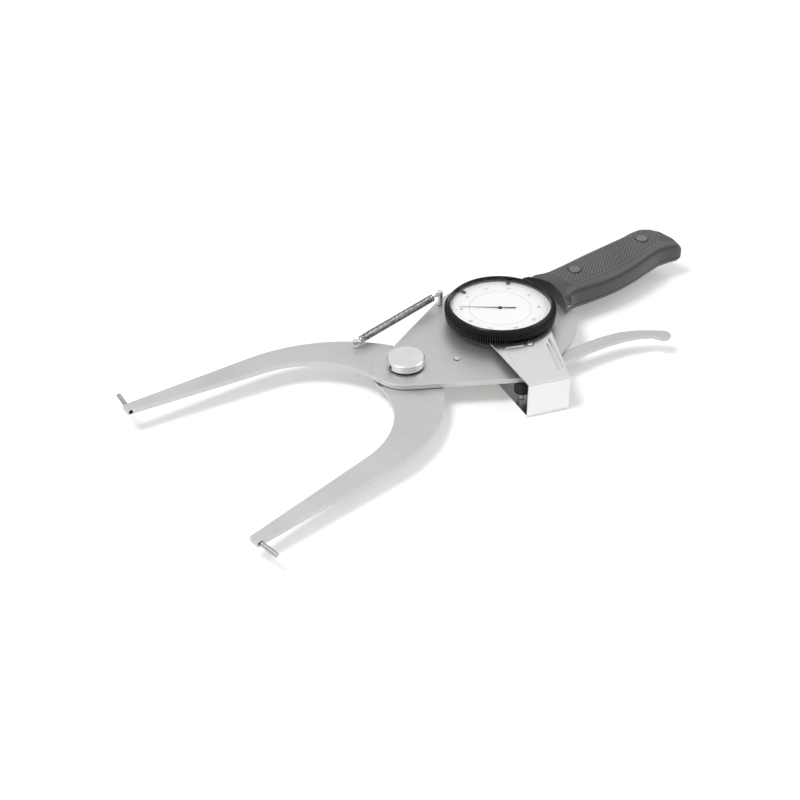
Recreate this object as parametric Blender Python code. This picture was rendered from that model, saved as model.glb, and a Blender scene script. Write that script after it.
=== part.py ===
"""Internal dial caliper gauge: two curved jaws on a common pivot, a dial, a grip and a finger lever.

Metres, +Z up. The tool's own axis runs along +X from the pivot to the grip, through the middle of
the dial, and the top of the fan plate is height zero while the pieces are made. At the end
everything is moved so that the origin lies in the middle of the footprint, on the surface below.
"""
import math

import bmesh
import bpy
from mathutils import Matrix, Vector

# General clearances and the fineness of round shapes
GAP = 0.0003
OVERRUN = 0.002
ROUND_STEPS = 32
FINE_STEPS = 60
SMALL_STEPS = 12

# Pivot
BOSS_RADIUS = 0.0178
PIVOT_RADIUS = 0.004
KNOB_RADIUS = 0.00955
KNOB_HEIGHT = 0.0044
KNOB_EDGE = 0.0004
KNOB_BORE_DEPTH = 0.0028
WASHER_RADIUS = 0.0090
WASHER_THICK = 0.0006
PIVOT_FOOT_RADIUS = 0.0078
PIVOT_FOOT_HEIGHT = 0.0012
LOWER_WASHER_RADIUS = 0.0092
LOWER_WASHER_THICK = 0.0006
BUSH_WALL = 0.0011
KNOB_SCREW_RADIUS = 0.0009
KNOB_SCREW_LENGTH = 0.0036
KNOB_SCREW_SUNK = 0.0004
KNOB_SCREW_ANGLE = 176.0

# Sheets: fan plate and far arm on top, near arm close below, its boss under the lever plate
PLATE_THICK = 0.0027
LEVER_THICK = 0.0018
NEAR_THICK = 0.0027

# Arms, drawn once for the far side and mirrored for the near side
CROTCH_RADIUS = 0.047
CROTCH_OFFSET = 0.005
OUTER_RADIUS = 0.0845
SHOULDER_X = 0.0055
SHOULDER_Y = 0.0184
ARM_REACH = 0.1305
TIP_SPAN = 0.0554
TIP_WIDTH = 0.0058
FAR_ARM_OPEN = 1.8
FAR_SHOULDER_ANGLE = 34.5
SEAM_END_ANGLE = 163.0
NEAR_BOSS_RADIUS = 0.0174
NEAR_ROOT_REACH = 0.0200
NEAR_OUTER_RADIUS = 0.0702
NEAR_OUTER_X = -0.0542
NEAR_OUTER_Y = -0.01565
NEAR_SHIFT_X = -0.0005
NEAR_SHIFT_Y = -0.0021

# Contact pins and their set screws
CONTACT_RADIUS = 0.0012
CONTACT_SHANK_RADIUS = 0.0009
CONTACT_PROUD = 0.0104
CONTACT_DEPTH = 0.0034
CONTACT_INSET = 0.0021
CONTACT_LEAN = 5.8
SET_SCREW_RADIUS = 0.0008
SET_SCREW_LENGTH = 0.0015

# Fan plate
NOTCH_ANGLE = 73.8
APEX_ANGLE = 111.5
FAR_RIM_START = 60.0
FAR_RIM_END = 45.0
NEAR_EDGE_ANGLE = -33.8
NEAR_EDGE_LENGTH = 0.066
DIAL_X = 0.06435
FAN_RIM = 0.0115
FAN_FAR_RIM = 0.0093
EAR_MEET_ANGLE = -75.0
FAN_CORNER = 0.0025
TANG_INSET = 0.0070
TANG_HALF_WIDTH = 0.0075

# Spacer pin that ties the near arm to the fan plate and stops the lever plate's slot
SPACER_X = 0.0235
SPACER_Y = -0.0125
SPACER_RADIUS = 0.0012
SPACER_HEAD_RADIUS = 0.0015
SPACER_HEAD_HEIGHT = 0.0005
SPACER_EAR_RADIUS = 0.0046

# Swing of the moving arm
SWING = 12.0

# Lever plate and its finger lever
HUB_RADIUS = 0.0158
LEVER_LENGTH = 0.0706
LEVER_FALL = 0.0196
LEVER_HALF_WIDTH = 0.0110
LEVER_TIP_RADIUS = 0.0040
LEVER_ROOT_SHARES = (
    (0.202, 0.172, 0.53), (0.365, 0.301, 0.96), (0.519, 0.434, 0.70), (0.663, 0.549, 0.48),
    (0.846, 0.638, 0.36),
)
LEVER_FREE_SHARES = (
    (0.211, 0.056, 0.37), (0.422, 0.102, 0.364), (0.596, 0.189, 0.359), (0.751, 0.332, 0.341),
    (0.858, 0.515, 0.291), (0.943, 0.730, 0.255),
)
ROOT_TAB_DEPTH = 0.0100
ROOT_TAB_START = 92.0
ROOT_TAB_END = 136.0
HUB_LEAD = 30.0
RIVET_RADIUS = 0.0011
RIVET_HEAD_RADIUS = 0.0019
RIVET_HEAD_HEIGHT = 0.0006
RIVET_ANGLES = (106.0, 134.0)
RIVET_CIRCLE_RADIUS = 0.0225

# Return spring and its posts
FAR_POST_X = -0.0096
FAR_POST_Y = 0.0295
FAR_POST_RADIUS = 0.0015
FAR_POST_HEIGHT = 0.0044
APEX_POST_INSET = 0.0028
APEX_POST_ANGLE = 112.0
APEX_POST_RADIUS = 0.00165
APEX_POST_HEIGHT = 0.0083
POST_SHANK_RADIUS = 0.0009
POST_GROOVE_DEPTH = 0.0005
POST_GROOVE_WIDTH = 0.0013
POST_HEAD_HEIGHT = 0.0008
SPRING_WIRE_RADIUS = 0.00024
SPRING_COIL_RADIUS = 0.0015
SPRING_CURLS = 40
SPRING_CURL_POINTS = 8
SPRING_BODY_LENGTH = 0.0500
SPRING_NEAR_HOOK = 0.0042
HOOK_POINTS = 10

# Dial case and movement
CASE_RADIUS = 0.0235
CASE_WALL = 0.0018
CASE_FLOOR = 0.0012
CASE_TOP = 0.0075
CASE_SCREW_CIRCLE_RADIUS = 0.0190
CASE_SCREW_ANGLES = (60.0, 180.0, 300.0)
SCREW_RADIUS = 0.0010
SCREW_HEAD_RADIUS = 0.0019
SCREW_HEAD_HEIGHT = 0.0010
SCREW_SLOT_WIDTH = 0.0004
SCREW_SLOT_DEPTH = 0.0004
PINION_TEETH = 12
SECTOR_TEETH_FULL_TURN = 187
WHEEL_TEETH = 30
CENTRE_TEETH = 12
ARBOR_BACK = 0.0112
TOOTH_ADDENDUM_SHARE = 0.22
TOOTH_DEDENDUM_SHARE = 0.34
TOOTH_ROOT_SHARE = 0.25
TOOTH_TIP_SHARE = 0.11
SECTOR_THICK = 0.0012
SECTOR_INNER_RADIUS = 0.0385
SECTOR_TOOTH_START = -15.0
SECTOR_TOOTH_END = 3.0
SECTOR_TAIL_ANGLE = -47.0
SECTOR_SCREW_ANGLES = (-44.5, -38.0)
SECTOR_SCREW_CIRCLE_RADIUS = 0.0425
ARBOR_RADIUS = 0.0008
PINION_FACE = 0.0022
WHEEL_THICK = 0.0008
WHEEL_UNDER = 0.0030
CENTRE_PINION_FACE = 0.0016
MOVEMENT_UNDER = 0.0046
MOVEMENT_THICK = 0.0010
MOVEMENT_HALF_LENGTH = 0.0133
MOVEMENT_HALF_WIDTH = 0.0062
MOVEMENT_PILLAR_RADIUS = 0.0016
MOVEMENT_PILLAR_PLACE = 0.0112
HAIRSPRING_TURNS = 3
HAIRSPRING_INNER = 0.0009
HAIRSPRING_OUTER = 0.0046
HAIRSPRING_WIRE_RADIUS = 0.00015
BRIDGE_UNDER = 0.0012
BRIDGE_THICK = 0.0012
BRIDGE_HALF_LENGTH = 0.0140
BRIDGE_HALF_WIDTH = 0.0034
BRIDGE_PILLAR_FORWARD = 0.0068
BRIDGE_PILLAR_SIDE = 0.0112
BRIDGE_PILLAR_RADIUS = 0.0022

# Bezel, dial, crystal, needle and limit markers
BEZEL_RADIUS = 0.0297
BEZEL_TOP = 0.0118
BEZEL_SHOULDER = 0.0092
BEZEL_UNDER = 0.0042
BEZEL_LIP_RADIUS = 0.0267
BEZEL_LIP_WIDTH = 0.0006
BEZEL_GRIP_TOP = 0.0080
BEZEL_GRIP_DEPTH = 0.0004
FACE_RADIUS = 0.0273
FACE_THICK = 0.0005
FACE_HOLE = 0.0012
CRYSTAL_THICK = 0.0006
CRYSTAL_SUNK = 0.0017
MARKER_THICK = 0.0003
MARKER_LENGTH = 0.0036
MARKER_HALF_WIDTH = 0.0011
MARKER_ANGLES = (102.0, 38.0)
NEEDLE_THICK = 0.00025
NEEDLE_LENGTH = 0.0216
NEEDLE_TAIL = 0.0085
NEEDLE_ANGLE = 138.0
NEEDLE_HALF_WIDTH = 0.00030
NEEDLE_TAIL_HALF_WIDTH = 0.00055
NEEDLE_BOSS_RADIUS = 0.0011
NEEDLE_CAP_RADIUS = 0.0007
NEEDLE_CAP_HEIGHT = 0.00025

# Lever guard: one strip of sheet bent to a U round the lever, and the rubber stop in it
GUARD_ANGLE = -110.7
GUARD_SHEET = 0.0008
GUARD_TOP = 0.0056
GUARD_BOTTOM = 0.0143
GUARD_WALL_REACH = 0.0668
GUARD_WALL_HALF_WIDTH = 0.0111
GUARD_BEZEL_CLEARANCE = 0.0006
GUARD_INNER_REACH = 0.0250
GUARD_INNER_LEFT = 0.0157
GUARD_INNER_RIGHT = 0.0185
GUARD_FOOT_REACH = 0.0340
GUARD_BEND_RADIUS = 0.0012
GUARD_POST_REACH = 0.0334
GUARD_POST_SIDE = 0.0033
GUARD_POST_RADIUS = 0.0021
STOP_STATIONS = (3, 4)
STOP_ALONG_SHARE = 0.06
STOP_RADIUS = 0.0042
STOP_PILLAR_RADIUS = 0.0018

# Grip: two moulded shells round the tang
GRIP_LENGTH = 0.0970
GRIP_HORN_DEPTH = 0.0122
GRIP_HALF_WIDTH = 0.0140
GRIP_TOP = 0.0110
GRIP_BOTTOM = 0.0070
GRIP_PARTING = 0.0012
GRIP_OVERLAP = 0.0047
GRIP_LEDGE_TOP = 0.0015
GRIP_TOP_ROUNDNESS = 6.0
GRIP_UNDER_ROUNDNESS = 3.0
GRIP_CAMBER_SHARE = 0.22
GRIP_SECTION_STEPS = 16
GRIP_STATION_SHARES = (
    (0.000, 1.28, 1.42, 0.72, 0.00), (0.048, 1.20, 1.36, 0.85, 0.00), (0.099, 1.04, 1.13, 0.95, 0.00),
    (0.131, 0.92, 0.98, 0.98, 0.00), (0.171, 0.91, 0.88, 1.00, 0.00), (0.275, 1.04, 0.88, 1.00, 0.00),
    (0.378, 1.12, 0.91, 1.00, 0.00), (0.460, 1.15, 0.93, 1.00, 0.00), (0.554, 1.12, 0.94, 1.00, 0.00),
    (0.635, 1.07, 0.94, 1.00, 0.00), (0.717, 0.98, 0.94, 1.00, 0.00), (0.792, 0.90, 0.94, 1.00, 0.01),
    (0.862, 0.83, 0.99, 1.00, 0.04), (0.930, 0.90, 0.97, 0.99, 0.09), (0.976, 1.02, 0.80, 0.93, 0.14),
    (1.000, 1.00, 0.46, 0.70, 0.15),
)
PLUG_SHARES = (0.269, 0.821)
PLUG_RADIUS = 0.0034
PLUG_THICK = 0.0016
PLUG_PROUD = 0.0004
GRIP_SCREW_RADIUS = 0.0014
GRIP_SCREW_HEAD_RADIUS = 0.0027
GRIP_SCREW_HEAD_HEIGHT = 0.0016
GRIP_NUT_RADIUS = 0.0024
GRIP_COUNTERBORE = 0.0030
LEDGE_SCREW_HEAD_RADIUS = 0.0016
LEDGE_SCREW_INSET = 0.0020
LEDGE_SCREW_ANGLE = 21.0
LEDGE_SEAT_RADIUS = 0.0021

# Levels that follow from the sheets
LEVER_TOP = -(PLATE_THICK + GAP)
LEVER_BOTTOM = LEVER_TOP - LEVER_THICK
NEAR_TOP = LEVER_BOTTOM - GAP
NEAR_BOTTOM = NEAR_TOP - NEAR_THICK
SECTOR_TOP = LEVER_BOTTOM - GAP
SECTOR_BOTTOM = SECTOR_TOP - SECTOR_THICK
CASE_BASE = GAP
FACE_UNDER = CASE_TOP + GAP
FACE_TOP = FACE_UNDER + FACE_THICK
ARBOR_X = DIAL_X - ARBOR_BACK

# Places that follow from the dial
FAN_RADIUS = BEZEL_RADIUS + FAN_RIM
FAN_FAR_RADIUS = BEZEL_RADIUS + FAN_FAR_RIM
GRIP_START = FAN_RADIUS - GRIP_HORN_DEPTH

# Colours and finishes: red, green, blue, metallic, roughness
FINISHES = {
    "satin_steel": (0.62, 0.63, 0.63, 0.9, 0.38),
    "bright_steel": (0.78, 0.78, 0.78, 1.0, 0.18),
    "polished_steel": (0.86, 0.86, 0.86, 1.0, 0.08),
    "black_metal": (0.015, 0.015, 0.016, 0.3, 0.35),
    "case_metal": (0.45, 0.46, 0.47, 0.9, 0.42),
    "brass": (0.72, 0.55, 0.25, 1.0, 0.3),
    "white_enamel": (0.90, 0.90, 0.88, 0.0, 0.5),
    "clear_crystal": (0.92, 0.94, 0.95, 0.0, 0.05),
    "grip_plastic": (0.055, 0.056, 0.058, 0.0, 0.55),
    "black_rubber": (0.02, 0.02, 0.02, 0.0, 0.7),
    "spring_steel": (0.42, 0.42, 0.42, 1.0, 0.3),
}


def clear_scene():
    """Take every object out of the open file."""
    for thing in list(bpy.data.objects):
        bpy.data.objects.remove(thing, do_unlink=True)


def finish(name):
    """One Principled material for each finish."""
    found = bpy.data.materials.get(name)
    if found:
        return found
    red, green, blue, metallic, roughness = FINISHES[name]
    material = bpy.data.materials.new(name)
    material.use_nodes = True
    shader = material.node_tree.nodes["Principled BSDF"]
    shader.inputs["Base Color"].default_value = (red, green, blue, 1.0)
    shader.inputs["Metallic"].default_value = metallic
    shader.inputs["Roughness"].default_value = roughness
    return material


def empty(name, place, parent=None):
    """An empty that carries the pieces of one moving body on its joint's axis."""
    holder = bpy.data.objects.new(name, None)
    bpy.context.scene.collection.objects.link(holder)
    holder.parent = parent
    holder.location = place
    return holder


def world_place(holder):
    """Where a carrying empty stands before the last move of the whole tool."""
    place = Vector((0, 0, 0))
    while holder:
        place += holder.location
        holder = holder.parent
    return place


def add_piece(name, mesh, body, finish_name, smooth=True):
    """Link a mesh, drawn in the tool's frame, as a piece of one body."""
    mesh.transform(Matrix.Translation(-world_place(body)))
    piece = bpy.data.objects.new(name, mesh)
    bpy.context.scene.collection.objects.link(piece)
    piece.parent = body
    mesh.materials.append(finish(finish_name))
    if smooth:
        mesh.shade_smooth()
        mesh.set_sharp_from_angle(angle=math.radians(32))
    return piece


def mesh_from(bm, name):
    """Close a bmesh into a mesh whose faces all point outwards."""
    bmesh.ops.recalc_face_normals(bm, faces=bm.faces)
    mesh = bpy.data.meshes.new(name)
    bm.to_mesh(mesh)
    bm.free()
    return mesh


def join_meshes(meshes, name):
    """Several closed cutters in one mesh, such as a set of like holes."""
    bm = bmesh.new()
    for mesh in meshes:
        bm.from_mesh(mesh)
        bpy.data.meshes.remove(mesh)
    return mesh_from(bm, name)


def polar(radius, degrees, centre=(0.0, 0.0)):
    """A point at an angle on a circle."""
    angle = math.radians(degrees)
    return (centre[0] + radius * math.cos(angle), centre[1] + radius * math.sin(angle))


def arc(centre, radius, start, end, steps):
    """Points of an arc from one angle to another, both ends included."""
    turn = (end - start) / steps
    return [polar(radius, start + turn * i, centre) for i in range(steps + 1)]


def circle(centre, radius, steps=SMALL_STEPS):
    """Points of a whole circle."""
    return arc(centre, radius, 0, 360, steps)[:-1]


def angle_of(point, centre=(0.0, 0.0)):
    """The direction of a point seen from a centre, in degrees."""
    return math.degrees(math.atan2(point[1] - centre[1], point[0] - centre[0]))


def turned_point(point, degrees, centre=(0.0, 0.0)):
    """A point swung about a centre."""
    angle = math.radians(degrees)
    x, y = point[0] - centre[0], point[1] - centre[1]
    return (centre[0] + x * math.cos(angle) - y * math.sin(angle),
            centre[1] + x * math.sin(angle) + y * math.cos(angle))


def rounded(corners, radius, steps=5):
    """An outline whose corners all have the same small radius."""
    points = []
    count = len(corners)
    for i, corner in enumerate(corners):
        here = Vector(corner)
        back = (Vector(corners[i - 1]) - here)
        on = (Vector(corners[(i + 1) % count]) - here)
        half = back.angle(on) / 2
        reach = min(radius / math.tan(half), back.length / 2, on.length / 2)
        start = here + back.normalized() * reach
        stop = here + on.normalized() * reach
        for k in range(steps + 1):
            t = k / steps
            points.append(tuple(start * (1 - t) ** 2 + here * 2 * t * (1 - t) + stop * t ** 2))
    return points


def sheet_mesh(name, outline, bottom, top, holes=()):
    """A flat plate with straight sides: an outline, its holes and two levels."""
    bm = bmesh.new()
    edges = []
    for loop in (outline, *holes):
        corners = [bm.verts.new((x, y, bottom)) for x, y in loop]
        for i, corner in enumerate(corners):
            edges.append(bm.edges.new((corners[i - 1], corner)))
    bmesh.ops.triangle_fill(bm, use_beauty=True, edges=edges, normal=(0, 0, 1))
    lower = list(bm.verts)
    floor_faces = list(bm.faces)
    upper = {v: bm.verts.new((v.co.x, v.co.y, top)) for v in lower}
    for face in floor_faces:
        bm.faces.new([upper[v] for v in reversed(face.verts)])
    for edge in edges:
        a, b = edge.verts
        bm.faces.new((a, b, upper[b], upper[a]))
    return mesh_from(bm, name)


def turned_mesh(name, profile, centre=(0.0, 0.0), steps=ROUND_STEPS):
    """A piece turned about an upright axis, from a closed profile of radius and height."""
    bm = bmesh.new()
    rings = []
    for radius, height in profile:
        if radius == 0:
            rings.append([bm.verts.new((centre[0], centre[1], height))])
        else:
            rings.append([bm.verts.new((x, y, height)) for x, y in circle(centre, radius, steps)])
    for i, ring in enumerate(rings):
        other = rings[i - 1]
        if len(ring) == 1 and len(other) == 1:
            continue
        for k in range(steps):
            n = (k + 1) % steps
            if len(ring) == 1:
                bm.faces.new((other[k], other[n], ring[0]))
            elif len(other) == 1:
                bm.faces.new((other[0], ring[n], ring[k]))
            else:
                bm.faces.new((other[k], other[n], ring[n], ring[k]))
    return mesh_from(bm, name)


def rod_mesh(name, centre, radius, bottom, top, steps=SMALL_STEPS):
    """A plain round rod."""
    return turned_mesh(name, ((0, bottom), (radius, bottom), (radius, top), (0, top)), centre, steps)


def headed_pin(name, centre, radius, head_radius, seat, head_height, end, steps=SMALL_STEPS):
    """A pin with a flat head: the head sits on its seat and the shank runs to its end."""
    away = 1 if seat > end else -1
    profile = ((0, end), (radius, end), (radius, seat), (head_radius, seat),
               (head_radius, seat + away * head_height), (0, seat + away * head_height))
    return turned_mesh(name, profile, centre, steps)


def slotted_screw(name, centre, radius, head_radius, seat, head_height, end):
    """A headed screw with a driver slot across its head."""
    screw = headed_pin(name, centre, radius, head_radius, seat, head_height, end)
    away = 1 if seat > end else -1
    face = seat + away * head_height
    floor = face - away * SCREW_SLOT_DEPTH
    half = SCREW_SLOT_WIDTH / 2
    reach = head_radius + OVERRUN
    outline = ((centre[0] - reach, centre[1] - half), (centre[0] + reach, centre[1] - half),
               (centre[0] + reach, centre[1] + half), (centre[0] - reach, centre[1] + half))
    low, high = sorted((floor, face + away * OVERRUN))
    cutter = sheet_mesh("slot", outline, low, high)
    return cut_mesh(screw, cutter)


def add_screws(label, places, sizes, levels, body, finish_name="bright_steel"):
    """A set of like slotted screws, each its own piece: radius and head, then seat, head and end."""
    for number, place in enumerate(places, start=1):
        name = label + "_" + str(number)
        add_piece(name, slotted_screw(name, place, *sizes, *levels), body, finish_name)


def cut_mesh(mesh, cutter, operation="DIFFERENCE"):
    """Cut one mesh by another with Blender's exact Boolean and give the result."""
    target = bpy.data.objects.new("target", mesh)
    tool = bpy.data.objects.new("tool", cutter)
    for thing in (target, tool):
        bpy.context.scene.collection.objects.link(thing)
    modifier = target.modifiers.new("cut", "BOOLEAN")
    modifier.operation = operation
    modifier.solver = "EXACT"
    modifier.object = tool
    seen = target.evaluated_get(bpy.context.evaluated_depsgraph_get())
    result = bpy.data.meshes.new_from_object(seen)
    result.name = mesh.name
    for thing in (target, tool):
        bpy.data.objects.remove(thing, do_unlink=True)
    bpy.data.meshes.remove(mesh)
    bpy.data.meshes.remove(cutter)
    return result


def tangent_angle(point, centre, radius):
    """Where the straight edge from an outside point touches a circle, on its clockwise side."""
    away = math.dist(point, centre)
    return angle_of(point, centre) - math.degrees(math.acos(radius / away))


def meet_circle(centre, radius, degrees):
    """How far out from the pivot a ray at an angle leaves a circle, taking the nearer crossing."""
    direction = Vector(polar(1, degrees))
    along = direction.dot(Vector(centre))
    across = Vector(centre).length_squared - along ** 2
    return along - math.sqrt(radius ** 2 - across)


def circles_meet(first, first_radius, second_radius):
    """The right-hand crossing of a circle with a circle about the pivot, as an angle at the pivot."""
    away = math.hypot(*first)
    cosine = (away ** 2 + second_radius ** 2 - first_radius ** 2) / (2 * away * second_radius)
    return angle_of(first) - math.degrees(math.acos(cosine))


def outer_centre():
    """The centre of an arm's outer edge, which starts at the shoulder."""
    x, y = polar(OUTER_RADIUS, FAR_SHOULDER_ANGLE)
    return (SHOULDER_X - x, SHOULDER_Y - y)


def arm_edges(shoulder, outer, radius):
    """The curved edges of an arm on the far side: from its shoulder out to the tip, then back."""
    crotch = (-(CROTCH_RADIUS + BOSS_RADIUS), -CROTCH_OFFSET)
    tip_out = (-ARM_REACH, TIP_SPAN + TIP_WIDTH / 2)
    tip_in = (-ARM_REACH, TIP_SPAN - TIP_WIDTH / 2)
    outer_edge = arc(outer, radius, shoulder, tangent_angle(tip_out, outer, radius), 14)
    inner_start = polar(meet_circle(crotch, -CROTCH_RADIUS, SEAM_END_ANGLE), SEAM_END_ANGLE)
    inner_edge = arc(crotch, CROTCH_RADIUS, tangent_angle(tip_in, crotch, CROTCH_RADIUS),
                     angle_of(inner_start, crotch), 14)
    return outer_edge + [tip_out, tip_in] + inner_edge


def contact_place():
    """The middle of the contact pin's seat in an arm on the far side."""
    return (-ARM_REACH + CONTACT_INSET, TIP_SPAN + TIP_WIDTH / 2)


def laid_flat(mesh, start, direction, height):
    """Turn an upright piece so that it lies flat, from a point and along a direction in the plan."""
    turn = Vector((0, 0, 1)).rotation_difference(Vector((*direction, 0)))
    mesh.transform(turn.to_matrix().to_4x4())
    mesh.transform(Matrix.Translation((*start, height)))
    return mesh


def cross_rod(name, start, direction, radius, length, height, steps=SMALL_STEPS):
    """A rod that lies flat, from a point and along a direction in the plan."""
    return laid_flat(rod_mesh(name, (0, 0), radius, 0, length, steps), start, direction, height)


def contact_point(depth):
    """A point on the contact pin's axis, so far inside the arm's outer edge, on the far side."""
    seat = contact_place()
    out = polar(1, 90 - CONTACT_LEAN)
    return (seat[0] - out[0] * depth, seat[1] - out[1] * depth)


def on_contact(mesh, depth, side, turn, place):
    """Lay an upright piece on the contact pin's axis, from a depth inside the arm and outwards."""
    mesh = laid_flat(mesh, contact_point(depth), polar(1, 90 - CONTACT_LEAN), 0)
    return place_side(mesh, side, turn, place)


def contact_rod(name, depth, radius, length, side, turn, place):
    """A plain rod on the contact pin's axis."""
    return on_contact(rod_mesh(name, (0, 0), radius, 0, length), depth, side, turn, place)


def arm_with_bores(mesh, side, turn, place):
    """Bore the tip for its contact pin and, from the inner edge, for the set screw."""
    wide, deep = CONTACT_SHANK_RADIUS + GAP, CONTACT_DEPTH + OVERRUN
    mesh = cut_mesh(mesh, contact_rod("bore", CONTACT_DEPTH, wide, deep, side, turn, place))
    wide, start = SET_SCREW_RADIUS + GAP, TIP_WIDTH + OVERRUN
    reach = start - CONTACT_DEPTH + GAP
    return cut_mesh(mesh, contact_rod("bore", start, wide, reach, side, turn, place))


def place_side(mesh, side, turn, place=(0, 0, 0)):
    """Swing a far-side drawing by a few degrees, mirror it for the near side and set its place."""
    mesh.transform(Matrix.Rotation(math.radians(turn), 4, "Z"))
    mesh.transform(Matrix.Diagonal((1, side, 1, 1)))
    mesh.transform(Matrix.Translation(place))
    bm = bmesh.new()
    bm.from_mesh(mesh)
    bmesh.ops.recalc_face_normals(bm, faces=bm.faces)
    bm.to_mesh(mesh)
    bm.free()
    return mesh


def far_arm(body):
    """The moving jaw's upper sheet, level with the fan plate and cut round its boss."""
    seam = BOSS_RADIUS + GAP
    corner = NOTCH_ANGLE + math.degrees(2 * GAP / seam) + FAR_ARM_OPEN
    edges = arm_edges(FAR_SHOULDER_ANGLE, outer_centre(), OUTER_RADIUS)
    seam_edge = arc((0, 0), seam, SEAM_END_ANGLE, corner, 14)
    rivets = [circle(polar(RIVET_CIRCLE_RADIUS, a), RIVET_RADIUS + GAP) for a in RIVET_ANGLES]
    post = turned_point((FAR_POST_X, FAR_POST_Y), FAR_ARM_OPEN)
    holes = rivets + [circle(post, POST_SHANK_RADIUS + GAP)]
    mesh = sheet_mesh("far_arm", edges + seam_edge, -PLATE_THICK, 0, holes)
    mesh = place_side(mesh, 1, -FAR_ARM_OPEN)
    mesh = arm_with_bores(mesh, 1, -FAR_ARM_OPEN, (0, 0, -PLATE_THICK / 2))
    add_piece("far_arm", mesh, body, "satin_steel")


def near_arm(body):
    """The fixed jaw: mirrored, close below the fan plate and joined to a lower boss with an ear."""
    outer = (NEAR_OUTER_X, NEAR_OUTER_Y)
    step = HUB_RADIUS + 2 * GAP
    root = polar(NEAR_ROOT_REACH, circles_meet(outer, NEAR_OUTER_RADIUS, NEAR_ROOT_REACH))
    edges = arm_edges(angle_of(root, outer), outer, NEAR_OUTER_RADIUS)
    arm = sheet_mesh("near_arm", edges + [(0, 0)], -NEAR_THICK, 0)
    arm = place_side(arm, -1, 0, near_place(LEVER_TOP))
    hollow = rod_mesh("hollow", (0, 0), step, LEVER_TOP - NEAR_THICK - OVERRUN, LEVER_TOP + OVERRUN,
                      ROUND_STEPS)
    arm = cut_mesh(arm, hollow)
    ear = (SPACER_X, -SPACER_Y)
    toward = angle_of(ear)
    ear_edge = arc(ear, SPACER_EAR_RADIUS, toward - 100, toward + 100, 10)
    boss_edge = arc((0, 0), NEAR_BOSS_RADIUS, toward + 32, toward + 328, 24)
    holes = (circle((0, 0), PIVOT_RADIUS + GAP, ROUND_STEPS), circle(ear, SPACER_RADIUS + GAP))
    boss = sheet_mesh("boss", boss_edge + ear_edge, -NEAR_THICK, 0, holes)
    mesh = cut_mesh(arm, place_side(boss, -1, 0, (0, 0, NEAR_TOP)), "UNION")
    mesh = arm_with_bores(mesh, -1, 0, near_place(LEVER_TOP - NEAR_THICK / 2))
    add_piece("near_arm", mesh, body, "satin_steel")


def near_place(height):
    """Where the near arm's drawing is set, at a height."""
    return (NEAR_SHIFT_X, NEAR_SHIFT_Y, height)


def contact_pieces(label, body, side, turn, place):
    """A stepped contact pin in the tip of an arm and the set screw that locks it."""
    root = CONTACT_DEPTH - GAP
    name = label + "_contact_pin"
    seat = CONTACT_DEPTH + GAP / 2
    pin = headed_pin(name, (0, 0), CONTACT_SHANK_RADIUS, CONTACT_RADIUS, seat,
                     root + CONTACT_PROUD - seat, 0)
    add_piece(name, on_contact(pin, root, side, turn, place), body, "bright_steel")
    name = label + "_contact_set_screw"
    start = root + GAP + SET_SCREW_LENGTH
    screw = contact_rod(name, start, SET_SCREW_RADIUS, SET_SCREW_LENGTH, side, turn, place)
    add_piece(name, screw, body, "black_metal")


def tang_end():
    """How far the fan plate's tang runs into the grip."""
    return DIAL_X + GRIP_START + GRIP_LENGTH - TANG_INSET


def fan_outline():
    """The fan plate: boss, left edge, apex, round edge behind the dial, tang, ear and near edge."""
    dial = (DIAL_X, 0)
    near = Vector(polar(1, NEAR_EDGE_ANGLE))
    near_start = Vector(polar(BOSS_RADIUS, NEAR_EDGE_ANGLE - 90))
    ear = near_start + near * NEAR_EDGE_LENGTH
    tang = math.degrees(math.asin(TANG_HALF_WIDTH / FAN_RADIUS))
    ear_meet = polar(FAN_RADIUS, EAR_MEET_ANGLE, dial)
    boss = arc((0, 0), BOSS_RADIUS, NOTCH_ANGLE, NEAR_EDGE_ANGLE + 270, 20)
    ear_corner = rounded([tuple(near_start), tuple(ear), ear_meet], FAN_CORNER)[6:12]
    lower = arc(dial, FAN_RADIUS, EAR_MEET_ANGLE, -tang, 12)
    tang_corners = [(tang_end(), -TANG_HALF_WIDTH), (tang_end(), TANG_HALF_WIDTH)]
    upper = arc(dial, FAN_RADIUS, tang, FAR_RIM_END, 8)
    upper += arc(dial, FAN_FAR_RADIUS, FAR_RIM_START, APEX_ANGLE, 12)
    return boss + ear_corner + lower + tang_corners + upper


def case_screw_places():
    """Where the dial case is screwed to the fan plate."""
    return [polar(CASE_SCREW_CIRCLE_RADIUS, a, (DIAL_X, 0)) for a in CASE_SCREW_ANGLES]


def bridge_pillar_places():
    """The two pillars of the lower bridge, behind the first arbor."""
    x = ARBOR_X + BRIDGE_PILLAR_FORWARD
    return [(x, side * BRIDGE_PILLAR_SIDE) for side in (-1, 1)]


def ledge_screw_places():
    """The two small screws at the foot of the grip."""
    ring = FAN_RADIUS - LEDGE_SCREW_INSET
    return [polar(ring, side * LEDGE_SCREW_ANGLE, (DIAL_X, 0)) for side in (-1, 1)]


def grip_screw_places():
    """The two screws that clamp the grip shells, below their plugs."""
    return [(DIAL_X + GRIP_START + GRIP_LENGTH * share, 0) for share in PLUG_SHARES]


def apex_post_place():
    """The frame's spring post, near the apex of the fan plate."""
    return polar(FAN_FAR_RADIUS - APEX_POST_INSET, APEX_POST_ANGLE, (DIAL_X, 0))


def guard_point(reach, side):
    """A point of the guard, from the dial's centre outwards and across."""
    return turned_point((DIAL_X + reach, side), GUARD_ANGLE, (DIAL_X, 0))


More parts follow.
